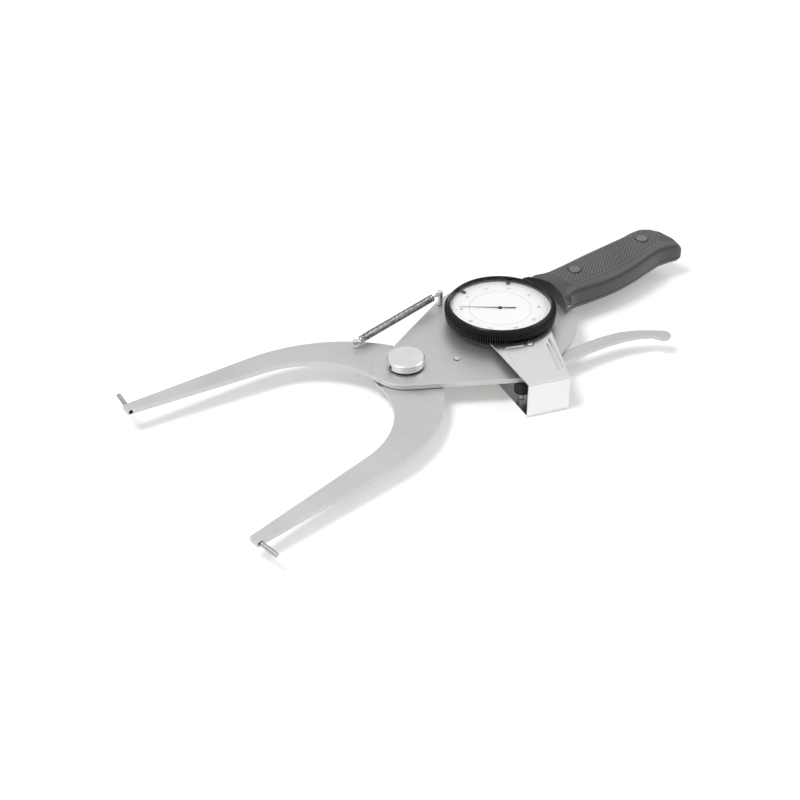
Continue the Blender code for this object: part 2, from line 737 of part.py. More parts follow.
def fan_plate(body):
    """The frame's main sheet, which carries the dial, the guard and, on its tang, the grip."""
    spacer = (SPACER_X, SPACER_Y)
    holes = [circle((0, 0), PIVOT_RADIUS + GAP, ROUND_STEPS), circle(spacer, SPACER_RADIUS + GAP)]
    holes.append(circle(apex_post_place(), POST_SHANK_RADIUS + GAP))
    holes.append(circle((ARBOR_X, 0), ARBOR_RADIUS * 2))
    holes += [circle(place, SCREW_RADIUS + GAP) for place in case_screw_places()]
    holes += [circle(place, SCREW_RADIUS + GAP) for place in ledge_screw_places()]
    holes += [circle(place, SCREW_RADIUS + GAP) for place in bridge_pillar_places()]
    holes += [circle(place, GRIP_SCREW_RADIUS + GAP) for place in grip_screw_places()]
    holes.append(circle(guard_point(GUARD_POST_REACH, GUARD_POST_SIDE), SCREW_RADIUS + GAP))
    holes.append(circle(stop_place(), SCREW_RADIUS + GAP))
    mesh = sheet_mesh("fan_plate", fan_outline(), -PLATE_THICK, 0, holes)
    add_piece("fan_plate", mesh, body, "satin_steel")


def pivot_pieces(body):
    """Pivot pin, washers, foot nut, knob and the knob's set screw."""
    bottom = NEAR_BOTTOM - GAP - LOWER_WASHER_THICK
    knob_under = GAP + WASHER_THICK + GAP
    knob_top = knob_under + KNOB_HEIGHT - GAP
    bore_top = knob_under + KNOB_BORE_DEPTH
    foot = bottom - GAP
    pin = headed_pin("pivot_pin", (0, 0), PIVOT_RADIUS, PIVOT_FOOT_RADIUS, foot,
                     PIVOT_FOOT_HEIGHT, bore_top - GAP, ROUND_STEPS)
    add_piece("pivot_pin", pin, body, "bright_steel")
    bore = PIVOT_RADIUS + GAP
    edge = KNOB_EDGE
    profile = ((0, bore_top), (bore, bore_top), (bore, knob_under), (KNOB_RADIUS, knob_under),
               (KNOB_RADIUS, knob_top - edge), (KNOB_RADIUS - edge, knob_top), (0, knob_top))
    knob = turned_mesh("pivot_knob", profile, (0, 0), FINE_STEPS)
    direction = polar(1, KNOB_SCREW_ANGLE)
    height = (knob_under + bore_top) / 2
    start = polar(PIVOT_RADIUS, KNOB_SCREW_ANGLE)
    reach = KNOB_RADIUS - PIVOT_RADIUS + OVERRUN
    hole = cross_rod("hole", start, direction, KNOB_SCREW_RADIUS + GAP, reach, height)
    add_piece("pivot_knob", cut_mesh(knob, hole), body, "bright_steel")
    start = polar(KNOB_RADIUS - KNOB_SCREW_SUNK - KNOB_SCREW_LENGTH, KNOB_SCREW_ANGLE)
    screw = cross_rod("knob_set_screw", start, direction, KNOB_SCREW_RADIUS, KNOB_SCREW_LENGTH,
                      height)
    add_piece("knob_set_screw", screw, body, "black_metal")
    washers = (("upper_washer", WASHER_RADIUS, GAP, GAP + WASHER_THICK),
               ("lower_washer", LOWER_WASHER_RADIUS, bottom, bottom + LOWER_WASHER_THICK))
    for name, radius, low, high in washers:
        hole = circle((0, 0), bore, ROUND_STEPS)
        ring = sheet_mesh(name, circle((0, 0), radius, ROUND_STEPS), low, high, (hole,))
        add_piece(name, ring, body, "black_metal")


def spacer_pin(body):
    """The bright-headed pin that ties the near arm to the fan plate."""
    pin = headed_pin("spacer_pin", (SPACER_X, SPACER_Y), SPACER_RADIUS, SPACER_HEAD_RADIUS, GAP,
                     SPACER_HEAD_HEIGHT, NEAR_BOTTOM)
    add_piece("spacer_pin", pin, body, "polished_steel")


def lever_stations():
    """Middle points and half widths of the lever, from hub to tip."""
    root = [(DIAL_X * x, -NEAR_EDGE_LENGTH * y, LEVER_HALF_WIDTH * w) for x, y, w in LEVER_ROOT_SHARES]
    last_x, last_y, _ = root[-1]
    free = [(last_x + LEVER_LENGTH * x, last_y - LEVER_FALL * y, LEVER_HALF_WIDTH * w)
            for x, y, w in LEVER_FREE_SHARES]
    return root + free


def lever_tip():
    """The centre of the lever's round end."""
    x, y, _ = lever_stations()[len(LEVER_ROOT_SHARES) - 1]
    return (x + LEVER_LENGTH, y - LEVER_FALL)


def lever_outline():
    """Hub, lever and its out-turned round tip, and the root tab below the far arm."""
    stations = lever_stations()
    left, right = [], []
    for i, (x, y, half) in enumerate(stations):
        before = stations[max(i - 1, 0)]
        after = stations[min(i + 1, len(stations) - 1)]
        run = Vector((after[0] - before[0], after[1] - before[1])).normalized()
        left.append((x - run.y * half, y + run.x * half))
        right.append((x + run.y * half, y - run.x * half))
    tip = lever_tip()
    last = angle_of(tip, stations[-1][:2])
    end = arc(tip, LEVER_TIP_RADIUS, last - 100, last + 100, 12)
    tab_radius = BOSS_RADIUS + ROOT_TAB_DEPTH
    hub_before = arc((0, 0), HUB_RADIUS, angle_of(left[0]) + 6, ROOT_TAB_START, 8)
    tab = arc((0, 0), tab_radius, ROOT_TAB_START, ROOT_TAB_END, 12)
    hub_after = arc((0, 0), HUB_RADIUS, ROOT_TAB_END + HUB_LEAD, angle_of(right[0]) % 360 - 6, 12)
    return right + end + left[::-1] + hub_before + tab + hub_after


def lever_plate(body):
    """The moving sheet between the fan plate and the near arm."""
    spacer_angle = angle_of((SPACER_X, SPACER_Y))
    ring = math.hypot(SPACER_X, SPACER_Y)
    half = SPACER_RADIUS + GAP
    outer = arc((0, 0), ring + half, spacer_angle - SWING, spacer_angle, 6)
    inner = arc((0, 0), ring - half, spacer_angle, spacer_angle - SWING, 6)
    upper_end = arc(polar(ring, spacer_angle), half, spacer_angle, spacer_angle + 180, 6)
    low = spacer_angle - SWING
    lower_end = arc(polar(ring, low), half, low + 180, low + 360, 6)
    slot = outer[:-1] + upper_end[:-1] + inner[:-1] + lower_end[:-1]
    hub = circle((0, 0), PIVOT_RADIUS + GAP + BUSH_WALL + GAP, ROUND_STEPS)
    rivets = [circle(rivet_place(a), RIVET_RADIUS + GAP) for a in RIVET_ANGLES]
    screws = [circle(polar(SECTOR_SCREW_CIRCLE_RADIUS, a), SCREW_RADIUS + GAP) for a in SECTOR_SCREW_ANGLES]
    holes = [hub, slot] + rivets + screws
    mesh = sheet_mesh("lever_plate", lever_outline(), LEVER_BOTTOM, LEVER_TOP, holes)
    add_piece("lever_plate", mesh, body, "satin_steel")
    bush_hole = circle((0, 0), PIVOT_RADIUS + GAP, ROUND_STEPS)
    bush_edge = circle((0, 0), PIVOT_RADIUS + GAP + BUSH_WALL, ROUND_STEPS)
    bush = sheet_mesh("pivot_bush", bush_edge, LEVER_BOTTOM, LEVER_TOP, (bush_hole,))
    add_piece("pivot_bush", bush, body, "brass")


def rivet_place(degrees):
    """A rivet's place once the far arm is swung open."""
    return polar(RIVET_CIRCLE_RADIUS, degrees - FAR_ARM_OPEN)


def arm_rivets(body):
    """Rivets, flush on top, that fix the far arm to the lever plate."""
    for number, degrees in enumerate(RIVET_ANGLES, start=1):
        name = "arm_rivet_" + str(number)
        rivet = headed_pin(name, rivet_place(degrees), RIVET_RADIUS, RIVET_HEAD_RADIUS,
                           LEVER_BOTTOM - GAP, RIVET_HEAD_HEIGHT, 0)
        add_piece(name, rivet, body, "satin_steel")


def spring_post(name, place, radius, height, body):
    """A grooved post for the spring's hook, with its shank in the sheet."""
    groove_top = height - POST_HEAD_HEIGHT
    groove_low = groove_top - POST_GROOVE_WIDTH
    neck = radius - POST_GROOVE_DEPTH
    profile = ((0, -PLATE_THICK), (POST_SHANK_RADIUS, -PLATE_THICK), (POST_SHANK_RADIUS, GAP),
               (radius, GAP), (radius, groove_low), (neck, groove_low), (neck, groove_top),
               (radius, groove_top), (radius, height), (0, height))
    add_piece(name, turned_mesh(name, profile, place, SMALL_STEPS), body, "bright_steel")


def hook_height(post_height):
    """The middle height of a post's groove."""
    return post_height - POST_HEAD_HEIGHT - POST_GROOVE_WIDTH / 2


def spring_points():
    """Hook round the far arm's post, close coil, long loop round the apex post."""
    start = Vector((FAR_POST_X, FAR_POST_Y, hook_height(FAR_POST_HEIGHT)))
    stop = Vector((*apex_post_place(), hook_height(APEX_POST_HEIGHT)))
    along = (stop - start).normalized()
    side = along.cross(Vector((0, 0, 1))).normalized()
    up = side.cross(along)
    level = Vector((along.x, along.y, 0)).normalized()
    across = Vector((-level.y, level.x, 0))
    near_ring = FAR_POST_RADIUS - POST_GROOVE_DEPTH + SPRING_WIRE_RADIUS + GAP
    far_ring = APEX_POST_RADIUS - POST_GROOVE_DEPTH + SPRING_WIRE_RADIUS + GAP
    points = []
    for i in range(HOOK_POINTS):
        angle = math.radians(-90 + 200 * i / (HOOK_POINTS - 1))
        points.append(start - level * near_ring * math.cos(angle) + across * near_ring * math.sin(angle))
    coil_start = start + along * SPRING_NEAR_HOOK
    pitch = SPRING_BODY_LENGTH / SPRING_CURLS
    for i in range(SPRING_CURLS * SPRING_CURL_POINTS + 1):
        turn = i / SPRING_CURL_POINTS
        angle = 2 * math.pi * turn
        ring = side * math.cos(angle) * -SPRING_COIL_RADIUS + up * math.sin(angle) * SPRING_COIL_RADIUS
        points.append(coil_start + along * pitch * turn + ring)
    for i in range(HOOK_POINTS):
        angle = math.radians(-80 + 200 * i / (HOOK_POINTS - 1))
        points.append(stop + level * far_ring * math.cos(angle) - across * -far_ring * math.sin(angle))
    return points


def least_gap(points, wire_radius, apart):
    """The least free distance between two stretches of a tube that aren't neighbours."""
    least = math.inf
    for i, a in enumerate(points):
        for b in points[i + apart:]:
            least = min(least, (a - b).length)
    return least - 2 * wire_radius


def tube_piece(name, points, radius, body, finish_name):
    """One unbroken tube along points, with closed ends."""
    curve = bpy.data.curves.new(name, "CURVE")
    curve.dimensions = "3D"
    curve.bevel_depth = radius
    curve.bevel_resolution = 1
    curve.use_fill_caps = True
    spline = curve.splines.new("POLY")
    spline.points.add(len(points) - 1)
    shift = world_place(body)
    for slot, point in zip(spline.points, points):
        slot.co = (*(Vector(point) - shift), 1)
    curve.materials.append(finish(finish_name))
    piece = bpy.data.objects.new(name, curve)
    bpy.context.scene.collection.objects.link(piece)
    piece.parent = body
    return piece


def return_spring(body):
    """The long extension spring that opens the jaws."""
    points = spring_points()
    gap = least_gap(points, SPRING_WIRE_RADIUS, SPRING_CURL_POINTS // 2)
    print("return_spring: least gap to itself", round(gap * 1000, 3), "mm")
    tube_piece("return_spring", points, SPRING_WIRE_RADIUS, body, "spring_steel")


def tooth_outline(centre, pitch_radius, teeth, phase, first=0, last=None):
    """The toothed edge of a wheel or of a stretch of it, with straight-sided teeth."""
    pitch = 2 * math.pi * pitch_radius / teeth
    tip = pitch_radius + TOOTH_ADDENDUM_SHARE * pitch
    root = pitch_radius - TOOTH_DEDENDUM_SHARE * pitch
    step = 360 / teeth
    points = []
    for i in range(first, teeth if last is None else last):
        middle = phase + step * i
        for radius, share in ((root, -TOOTH_ROOT_SHARE), (tip, -TOOTH_TIP_SHARE),
                              (tip, TOOTH_TIP_SHARE), (root, TOOTH_ROOT_SHARE)):
            points.append(polar(radius, middle + share * step, centre))
    return points


def pinion_radius():
    """Pitch radius of the first arbor's pinion, in mesh with the sector about the pivot."""
    return ARBOR_X * PINION_TEETH / (PINION_TEETH + SECTOR_TEETH_FULL_TURN)


def centre_radius():
    """Pitch radius of the needle's pinion, in mesh with the wheel on the first arbor."""
    return ARBOR_BACK * CENTRE_TEETH / (CENTRE_TEETH + WHEEL_TEETH)


def gear_sector(body):
    """The toothed sector under the lever plate, its teeth round the pivot."""
    pitch_radius = ARBOR_X - pinion_radius()
    step = 360 / SECTOR_TEETH_FULL_TURN
    first = math.ceil(SECTOR_TOOTH_START / step)
    last = math.floor(SECTOR_TOOTH_END / step)
    edge = tooth_outline((0, 0), pitch_radius, SECTOR_TEETH_FULL_TURN, 0, first, last)
    pitch = 2 * math.pi * pitch_radius / SECTOR_TEETH_FULL_TURN
    plain = pitch_radius - TOOTH_DEDENDUM_SHARE * pitch
    start = angle_of(edge[0])
    back = arc((0, 0), plain, SECTOR_TAIL_ANGLE, start, 12)[:-1]
    inner = arc((0, 0), SECTOR_INNER_RADIUS, angle_of(edge[-1]), SECTOR_TAIL_ANGLE, 20)
    places = [polar(SECTOR_SCREW_CIRCLE_RADIUS, a) for a in SECTOR_SCREW_ANGLES]
    holes = [circle(place, SCREW_RADIUS + GAP) for place in places]
    mesh = sheet_mesh("gear_sector", back + edge + inner, SECTOR_BOTTOM, SECTOR_TOP, holes)
    add_piece("gear_sector", mesh, body, "brass")
    add_screws("sector_screw", places, (SCREW_RADIUS, SCREW_HEAD_RADIUS),
               (SECTOR_BOTTOM - GAP, SCREW_HEAD_HEIGHT, LEVER_TOP), body)


def first_arbor(body):
    """The arbor that the sector drives, with its pinion below the fan plate and wheel above."""
    centre = (ARBOR_X, 0)
    low = SECTOR_BOTTOM - BRIDGE_UNDER - BRIDGE_THICK
    high = MOVEMENT_UNDER + MOVEMENT_THICK
    pinion_low = SECTOR_BOTTOM - (PINION_FACE - SECTOR_THICK) / 2
    pinion_high = pinion_low + PINION_FACE
    teeth = tooth_outline(centre, pinion_radius(), PINION_TEETH, 180 + 180 / PINION_TEETH)
    pinion = sheet_mesh("pinion", teeth, pinion_low, pinion_high)
    rod = rod_mesh("rod", centre, ARBOR_RADIUS, low, high)
    add_piece("first_arbor", cut_mesh(pinion, rod, "UNION"), body, "bright_steel")
    radius = ARBOR_BACK - centre_radius()
    teeth = tooth_outline(centre, radius, WHEEL_TEETH, 0)
    hole = circle(centre, ARBOR_RADIUS + GAP)
    wheel = sheet_mesh("arbor_wheel", teeth, WHEEL_UNDER, WHEEL_UNDER + WHEEL_THICK, (hole,))
    add_piece("arbor_wheel", wheel, body, "brass")


def needle_pieces(body):
    """Centre arbor with its pinion, hairspring, needle and cap."""
    centre = (DIAL_X, 0)
    low = CASE_BASE + GAP
    needle_under = FACE_TOP + GAP
    needle_top = needle_under + NEEDLE_THICK
    middle = WHEEL_UNDER + WHEEL_THICK / 2
    half = CENTRE_PINION_FACE / 2
    teeth = tooth_outline(centre, centre_radius(), CENTRE_TEETH, 180 + 180 / CENTRE_TEETH)
    pinion = sheet_mesh("pinion", teeth, middle - half, middle + half)
    rod = rod_mesh("rod", centre, ARBOR_RADIUS / 2, low, needle_top)
    add_piece("centre_arbor", cut_mesh(pinion, rod, "UNION"), body, "bright_steel")
    length, tail = NEEDLE_LENGTH, -NEEDLE_TAIL
    thin, thick, boss = NEEDLE_HALF_WIDTH, NEEDLE_TAIL_HALF_WIDTH, NEEDLE_BOSS_RADIUS
    start = math.degrees(math.asin(thin / boss))
    back = math.degrees(math.asin(thick / boss))
    outline = [(length, 0)] + arc((0, 0), boss, start, 180 - back, 6)
    outline += [(tail, thick), (tail, -thick)] + arc((0, 0), boss, back - 180, -start, 6)
    outline = [turned_point(p, NEEDLE_ANGLE) for p in outline]
    outline = [(DIAL_X + x, y) for x, y in outline]
    needle = sheet_mesh("needle", outline, needle_under, needle_top)
    hub = rod_mesh("hub", centre, NEEDLE_CAP_RADIUS + GAP, needle_under, needle_top + NEEDLE_CAP_HEIGHT)
    needle = cut_mesh(needle, hub, "UNION")
    bore = rod_mesh("bore", centre, ARBOR_RADIUS / 2 + GAP, low, needle_top + OVERRUN)
    add_piece("needle", cut_mesh(needle, bore), body, "black_metal")


def hairspring(body):
    """The flat spiral that takes up the slack of the train."""
    height = (CASE_BASE + CASE_FLOOR + middle_of_wheel() - CENTRE_PINION_FACE / 2) / 2
    points = []
    steps = HAIRSPRING_TURNS * 12
    for i in range(steps + 1):
        radius = HAIRSPRING_INNER + (HAIRSPRING_OUTER - HAIRSPRING_INNER) * i / steps
        x, y = polar(radius, 360 * HAIRSPRING_TURNS * i / steps, (DIAL_X, 0))
        points.append((x, y, height))
    tube_piece("hairspring", points, HAIRSPRING_WIRE_RADIUS, body, "brass")


def middle_of_wheel():
    """The height at which wheel and centre pinion mesh."""
    return WHEEL_UNDER + WHEEL_THICK / 2


def dial_case(body):
    """The cup on the fan plate that holds the movement, and the screws in its floor."""
    centre = (DIAL_X, 0)
    floor = CASE_BASE + CASE_FLOOR
    inner = CASE_RADIUS - CASE_WALL
    bore = ARBOR_RADIUS / 2 + GAP
    profile = ((bore, CASE_BASE), (CASE_RADIUS, CASE_BASE), (CASE_RADIUS, CASE_TOP),
               (inner, CASE_TOP), (inner, floor), (bore, floor))
    case = turned_mesh("dial_case", profile, centre, FINE_STEPS)
    cutters = [rod_mesh("cutter", (ARBOR_X, 0), ARBOR_RADIUS * 2, -OVERRUN, floor + OVERRUN)]
    for place in case_screw_places():
        cutters.append(rod_mesh("cutter", place, SCREW_RADIUS + GAP, -OVERRUN, floor + OVERRUN))
    case = cut_mesh(case, join_meshes(cutters, "cutters"))
    add_piece("dial_case", case, body, "case_metal")
    add_screws("case_screw", case_screw_places(), (SCREW_RADIUS, SCREW_HEAD_RADIUS),
               (floor + GAP, SCREW_HEAD_HEIGHT, -PLATE_THICK), body)


def box_outline(x, y, half_x, half_y):
    """The four corners of a rectangle round a centre."""
    return [(x - half_x, y - half_y), (x + half_x, y - half_y), (x + half_x, y + half_y),
            (x - half_x, y + half_y)]


def with_pillars(plate, places, radius, low, high):
    """A bearing plate with a hollow pillar for each of its screws, made in one piece."""
    for place in places:
        hole = circle(place, SCREW_RADIUS + GAP)
        plate = cut_mesh(plate, sheet_mesh("pillar", circle(place, radius), low, high, (hole,)), "UNION")
    return plate


def movement_bracket(body):
    """The upper bearing plate of the movement, on its two pillars and their screws."""
    middle = (DIAL_X + ARBOR_X) / 2
    outline = rounded(box_outline(middle, 0, MOVEMENT_HALF_WIDTH + ARBOR_BACK / 2,
                                  MOVEMENT_HALF_LENGTH), MOVEMENT_HALF_WIDTH / 2)
    high = MOVEMENT_UNDER + MOVEMENT_THICK
    places = [(middle, side * MOVEMENT_PILLAR_PLACE) for side in (-1, 1)]
    holes = [circle((DIAL_X, 0), ARBOR_RADIUS / 2 + GAP), circle((ARBOR_X, 0), ARBOR_RADIUS + GAP)]
    holes += [circle(place, SCREW_RADIUS + GAP) for place in places]
    plate = sheet_mesh("movement_bracket", outline, MOVEMENT_UNDER, high, holes)
    foot = CASE_BASE + CASE_FLOOR + GAP
    plate = with_pillars(plate, places, MOVEMENT_PILLAR_RADIUS, foot, high)
    add_piece("movement_bracket", plate, body, "brass")
    add_screws("movement_screw", places, (SCREW_RADIUS, MOVEMENT_PILLAR_RADIUS),
               (high + GAP, CASE_TOP - high - GAP - GAP, foot), body)


def lower_bridge(body):
    """The bar below the sector that bears the first arbor's lower end."""
    x = ARBOR_X + BRIDGE_PILLAR_FORWARD
    half = BRIDGE_HALF_WIDTH
    high = SECTOR_BOTTOM - BRIDGE_UNDER
    low = high - BRIDGE_THICK
    nose = ARBOR_X - half
    outline = [(nose, -half), (x - half, -BRIDGE_HALF_LENGTH), (x + half, -BRIDGE_HALF_LENGTH),
               (x + half, BRIDGE_HALF_LENGTH), (x - half, BRIDGE_HALF_LENGTH), (nose, half)]
    holes = [circle((ARBOR_X, 0), ARBOR_RADIUS + GAP)]
    holes += [circle(place, SCREW_RADIUS + GAP) for place in bridge_pillar_places()]
    places = bridge_pillar_places()
    bar = sheet_mesh("lower_bridge", rounded(outline, half / 2), low, high, holes)
    bar = with_pillars(bar, places, BRIDGE_PILLAR_RADIUS, low, -PLATE_THICK - GAP)
    add_piece("lower_bridge", bar, body, "case_metal")
    add_screws("bridge_screw", places, (SCREW_RADIUS, SCREW_HEAD_RADIUS),
               (low - GAP, SCREW_HEAD_HEIGHT, 0), body)


def bezel_pieces(body):
    """The turning bezel with its crystal and the dial face below it."""
    centre = (DIAL_X, 0)
    lip_under = FACE_TOP + GAP
    skirt = FACE_RADIUS + GAP
    grip = BEZEL_RADIUS - BEZEL_GRIP_DEPTH
    profile = ((skirt, BEZEL_UNDER), (grip, BEZEL_UNDER), (grip, BEZEL_GRIP_TOP),
               (BEZEL_RADIUS, BEZEL_GRIP_TOP + BEZEL_GRIP_DEPTH), (BEZEL_RADIUS, BEZEL_SHOULDER),
               (BEZEL_LIP_RADIUS + BEZEL_LIP_WIDTH, BEZEL_TOP), (BEZEL_LIP_RADIUS, BEZEL_TOP),
               (BEZEL_LIP_RADIUS, lip_under), (skirt, lip_under))
    add_piece("bezel_ring", turned_mesh("bezel_ring", profile, centre, FINE_STEPS), body, "black_metal")
    face = sheet_mesh("dial_face", circle(centre, FACE_RADIUS, FINE_STEPS), FACE_UNDER, FACE_TOP,
                      (circle(centre, FACE_HOLE),))
    add_piece("dial_face", face, body, "white_enamel")
    high = BEZEL_TOP - CRYSTAL_SUNK
    crystal = rod_mesh("crystal", centre, BEZEL_LIP_RADIUS - GAP, high - CRYSTAL_THICK, high,
                       FINE_STEPS)
    add_piece("crystal", crystal, body, "clear_crystal")


def limit_marker(name, degrees, body):
    """A small pointer that slides round inside the bezel's lip."""
    high = BEZEL_TOP - CRYSTAL_SUNK - CRYSTAL_THICK - GAP
    outer = BEZEL_LIP_RADIUS - GAP
    turn = math.degrees(MARKER_HALF_WIDTH / outer)
    outline = arc((DIAL_X, 0), outer, degrees - turn, degrees + turn, 4)
    outline.append(polar(outer - MARKER_LENGTH, degrees, (DIAL_X, 0)))
    marker = sheet_mesh(name, outline, high - MARKER_THICK, high)
    add_piece(name, marker, body, "black_metal")


def stop_place():
    """The middle of the rubber stop, beside the lever's near edge where the lever rests on it."""
    edge = []
    for index in STOP_STATIONS:
        x, y, half = lever_stations()[index]
        before, after = lever_stations()[index - 1], lever_stations()[index + 1]
        run = Vector((after[0] - before[0], after[1] - before[1])).normalized()
        edge.append(Vector((x + run.y * half, y - run.x * half)))
    run = (edge[1] - edge[0]).normalized()
    away = Vector((run.y, -run.x)) * (STOP_RADIUS + GAP)
    return tuple(edge[0].lerp(edge[1], STOP_ALONG_SHARE) + away)


def guard_section():
    """The guard's strip seen from its side: flange above, wall, shorter flange below."""
    bend, sheet, reach = GUARD_BEND_RADIUS, GUARD_SHEET, GUARD_WALL_REACH
    top, low = GUARD_TOP, -GUARD_BOTTOM
    outer, inner = [], []
    for height, start, end in ((top - bend, 90, 0), (low + bend, 0, -90)):
        outer += arc((reach - bend, height), bend, start, end, 4)
        inner += arc((reach - bend, height), bend - sheet, start, end, 4)
    section = [(0, top)] + outer + [(GUARD_FOOT_REACH, low), (GUARD_FOOT_REACH, low + sheet)]
    return section + inner[::-1] + [(0, top - sheet)]


def lever_guard(body):
    """The bright sheet guard, cut to its tapered plan and round the bezel."""
    top, low = GUARD_TOP + OVERRUN, -GUARD_BOTTOM - OVERRUN
    wide = GUARD_INNER_RIGHT + OVERRUN
    strip = sheet_mesh("strip", guard_section(), -wide, wide)
    strip.transform(Matrix.Rotation(math.pi / 2, 4, "X"))
    wall, end = GUARD_WALL_HALF_WIDTH, GUARD_WALL_REACH + OVERRUN
    length = GUARD_WALL_REACH - GUARD_INNER_REACH
    plan = []
    for inner, side in ((GUARD_INNER_LEFT, -1), (GUARD_INNER_RIGHT, 1)):
        slope = (inner - wall) / length
        plan += [(0, side * (inner + slope * GUARD_INNER_REACH)), (end, side * (wall - slope * OVERRUN))]
    plan = [plan[0], plan[1], plan[3], plan[2]]
    strip = cut_mesh(strip, sheet_mesh("plan", plan, low, top), "INTERSECT")
    inner = BEZEL_RADIUS + GUARD_BEZEL_CLEARANCE
    strip = cut_mesh(strip, rod_mesh("hollow", (0, 0), inner, low, top, FINE_STEPS))
    strip.transform(Matrix.Rotation(math.radians(GUARD_ANGLE), 4, "Z"))
    strip.transform(Matrix.Translation((DIAL_X, 0, 0)))
    post = guard_point(GUARD_POST_REACH, GUARD_POST_SIDE)
    holes = [rod_mesh("hole", post, SCREW_RADIUS + GAP, 0, top)]
    holes.append(rod_mesh("hole", stop_place(), SCREW_RADIUS + GAP, low, 0))
    strip = cut_mesh(strip, join_meshes(holes, "holes"))
    add_piece("lever_guard", strip, body, "polished_steel")


def guard_fasteners(body):
    """Post and screw above the fan plate, rubber-sleeved pillar and screw below it."""
    place = guard_point(GUARD_POST_REACH, GUARD_POST_SIDE)
    hole = circle(place, SCREW_RADIUS + GAP)
    flange = GUARD_TOP - GUARD_SHEET
    post = sheet_mesh("guard_post", circle(place, GUARD_POST_RADIUS), GAP, flange - GAP, (hole,))
    add_piece("guard_post", post, body, "case_metal")
    screw = slotted_screw("guard_top_screw", place, SCREW_RADIUS, SCREW_HEAD_RADIUS,
                          GUARD_TOP + GAP, SCREW_HEAD_HEIGHT, -PLATE_THICK)
    add_piece("guard_top_screw", screw, body, "black_metal")
    place = stop_place()
    foot = -GUARD_BOTTOM + GUARD_SHEET + GAP
    high = -PLATE_THICK - GAP
    hole = circle(place, SCREW_RADIUS + GAP)
    pillar = sheet_mesh("guard_pillar", circle(place, STOP_PILLAR_RADIUS), foot, high, (hole,))
    add_piece("guard_pillar", pillar, body, "case_metal")
    hole = circle(place, STOP_PILLAR_RADIUS + GAP)
    sleeve = sheet_mesh("lever_stop", circle(place, STOP_RADIUS, ROUND_STEPS), foot, high, (hole,))
    add_piece("lever_stop", sleeve, body, "black_rubber")
    screw = rod_mesh("guard_bottom_screw", place, SCREW_RADIUS, -GUARD_BOTTOM, 0)
    add_piece("guard_bottom_screw", screw, body, "black_metal")


def grip_section(side, near_half, far_half, height, parting):
    """Half of the grip's cross-section, from far parting line over the crown to the near one."""
    roundness = GRIP_TOP_ROUNDNESS if side > 0 else GRIP_UNDER_ROUNDNESS
    points = []
    for i in range(GRIP_SECTION_STEPS + 1):
        angle = math.pi * i / GRIP_SECTION_STEPS
        half = far_half if math.cos(angle) > 0 else near_half
        across = math.copysign(abs(math.cos(angle)) ** (2 / roundness), math.cos(angle))
        up = abs(math.sin(angle)) ** (2 / roundness) * (1 - GRIP_CAMBER_SHARE * across ** 2)
        points.append((half * across, parting + side * height * up))
    return points


def grip_shell_mesh(name, side):
    """A shell lofted through the grip's stations, flat at the parting plane."""
    parting = -GRIP_PARTING if side > 0 else -GRIP_PARTING - GAP
    full = GRIP_TOP + GRIP_PARTING if side > 0 else GRIP_BOTTOM - GRIP_PARTING - GAP
    bm = bmesh.new()
    rings = []
    for along, near, far, tall, lean in GRIP_STATION_SHARES:
        x = DIAL_X + GRIP_START + along * GRIP_LENGTH
        section = grip_section(side, near * GRIP_HALF_WIDTH, far * GRIP_HALF_WIDTH, tall * full,
                               parting)
        rings.append([bm.verts.new((x - lean * y, y, z)) for y, z in section])
    count = len(rings[0])
    for first, second in zip(rings, rings[1:]):
        for k in range(count):
            n = (k + 1) % count
            bm.faces.new((first[k], first[n], second[n], second[k]))
    bm.faces.new(rings[0])
    bm.faces.new(rings[-1][::-1])
    return mesh_from(bm, name)


def plate_pocket(low, high):
    """The room that the fan plate's round edge and its tang take in the grip."""
    radius = FAN_RADIUS + GAP
    clear = TANG_HALF_WIDTH + GAP
    tang = math.degrees(math.asin(clear / radius))
    end = tang_end() + GAP
    outline = arc((DIAL_X, 0), radius, tang, 360 - tang, FINE_STEPS)
    outline += [(end, -clear), (end, clear)]
    return sheet_mesh("pocket", outline, low, high)


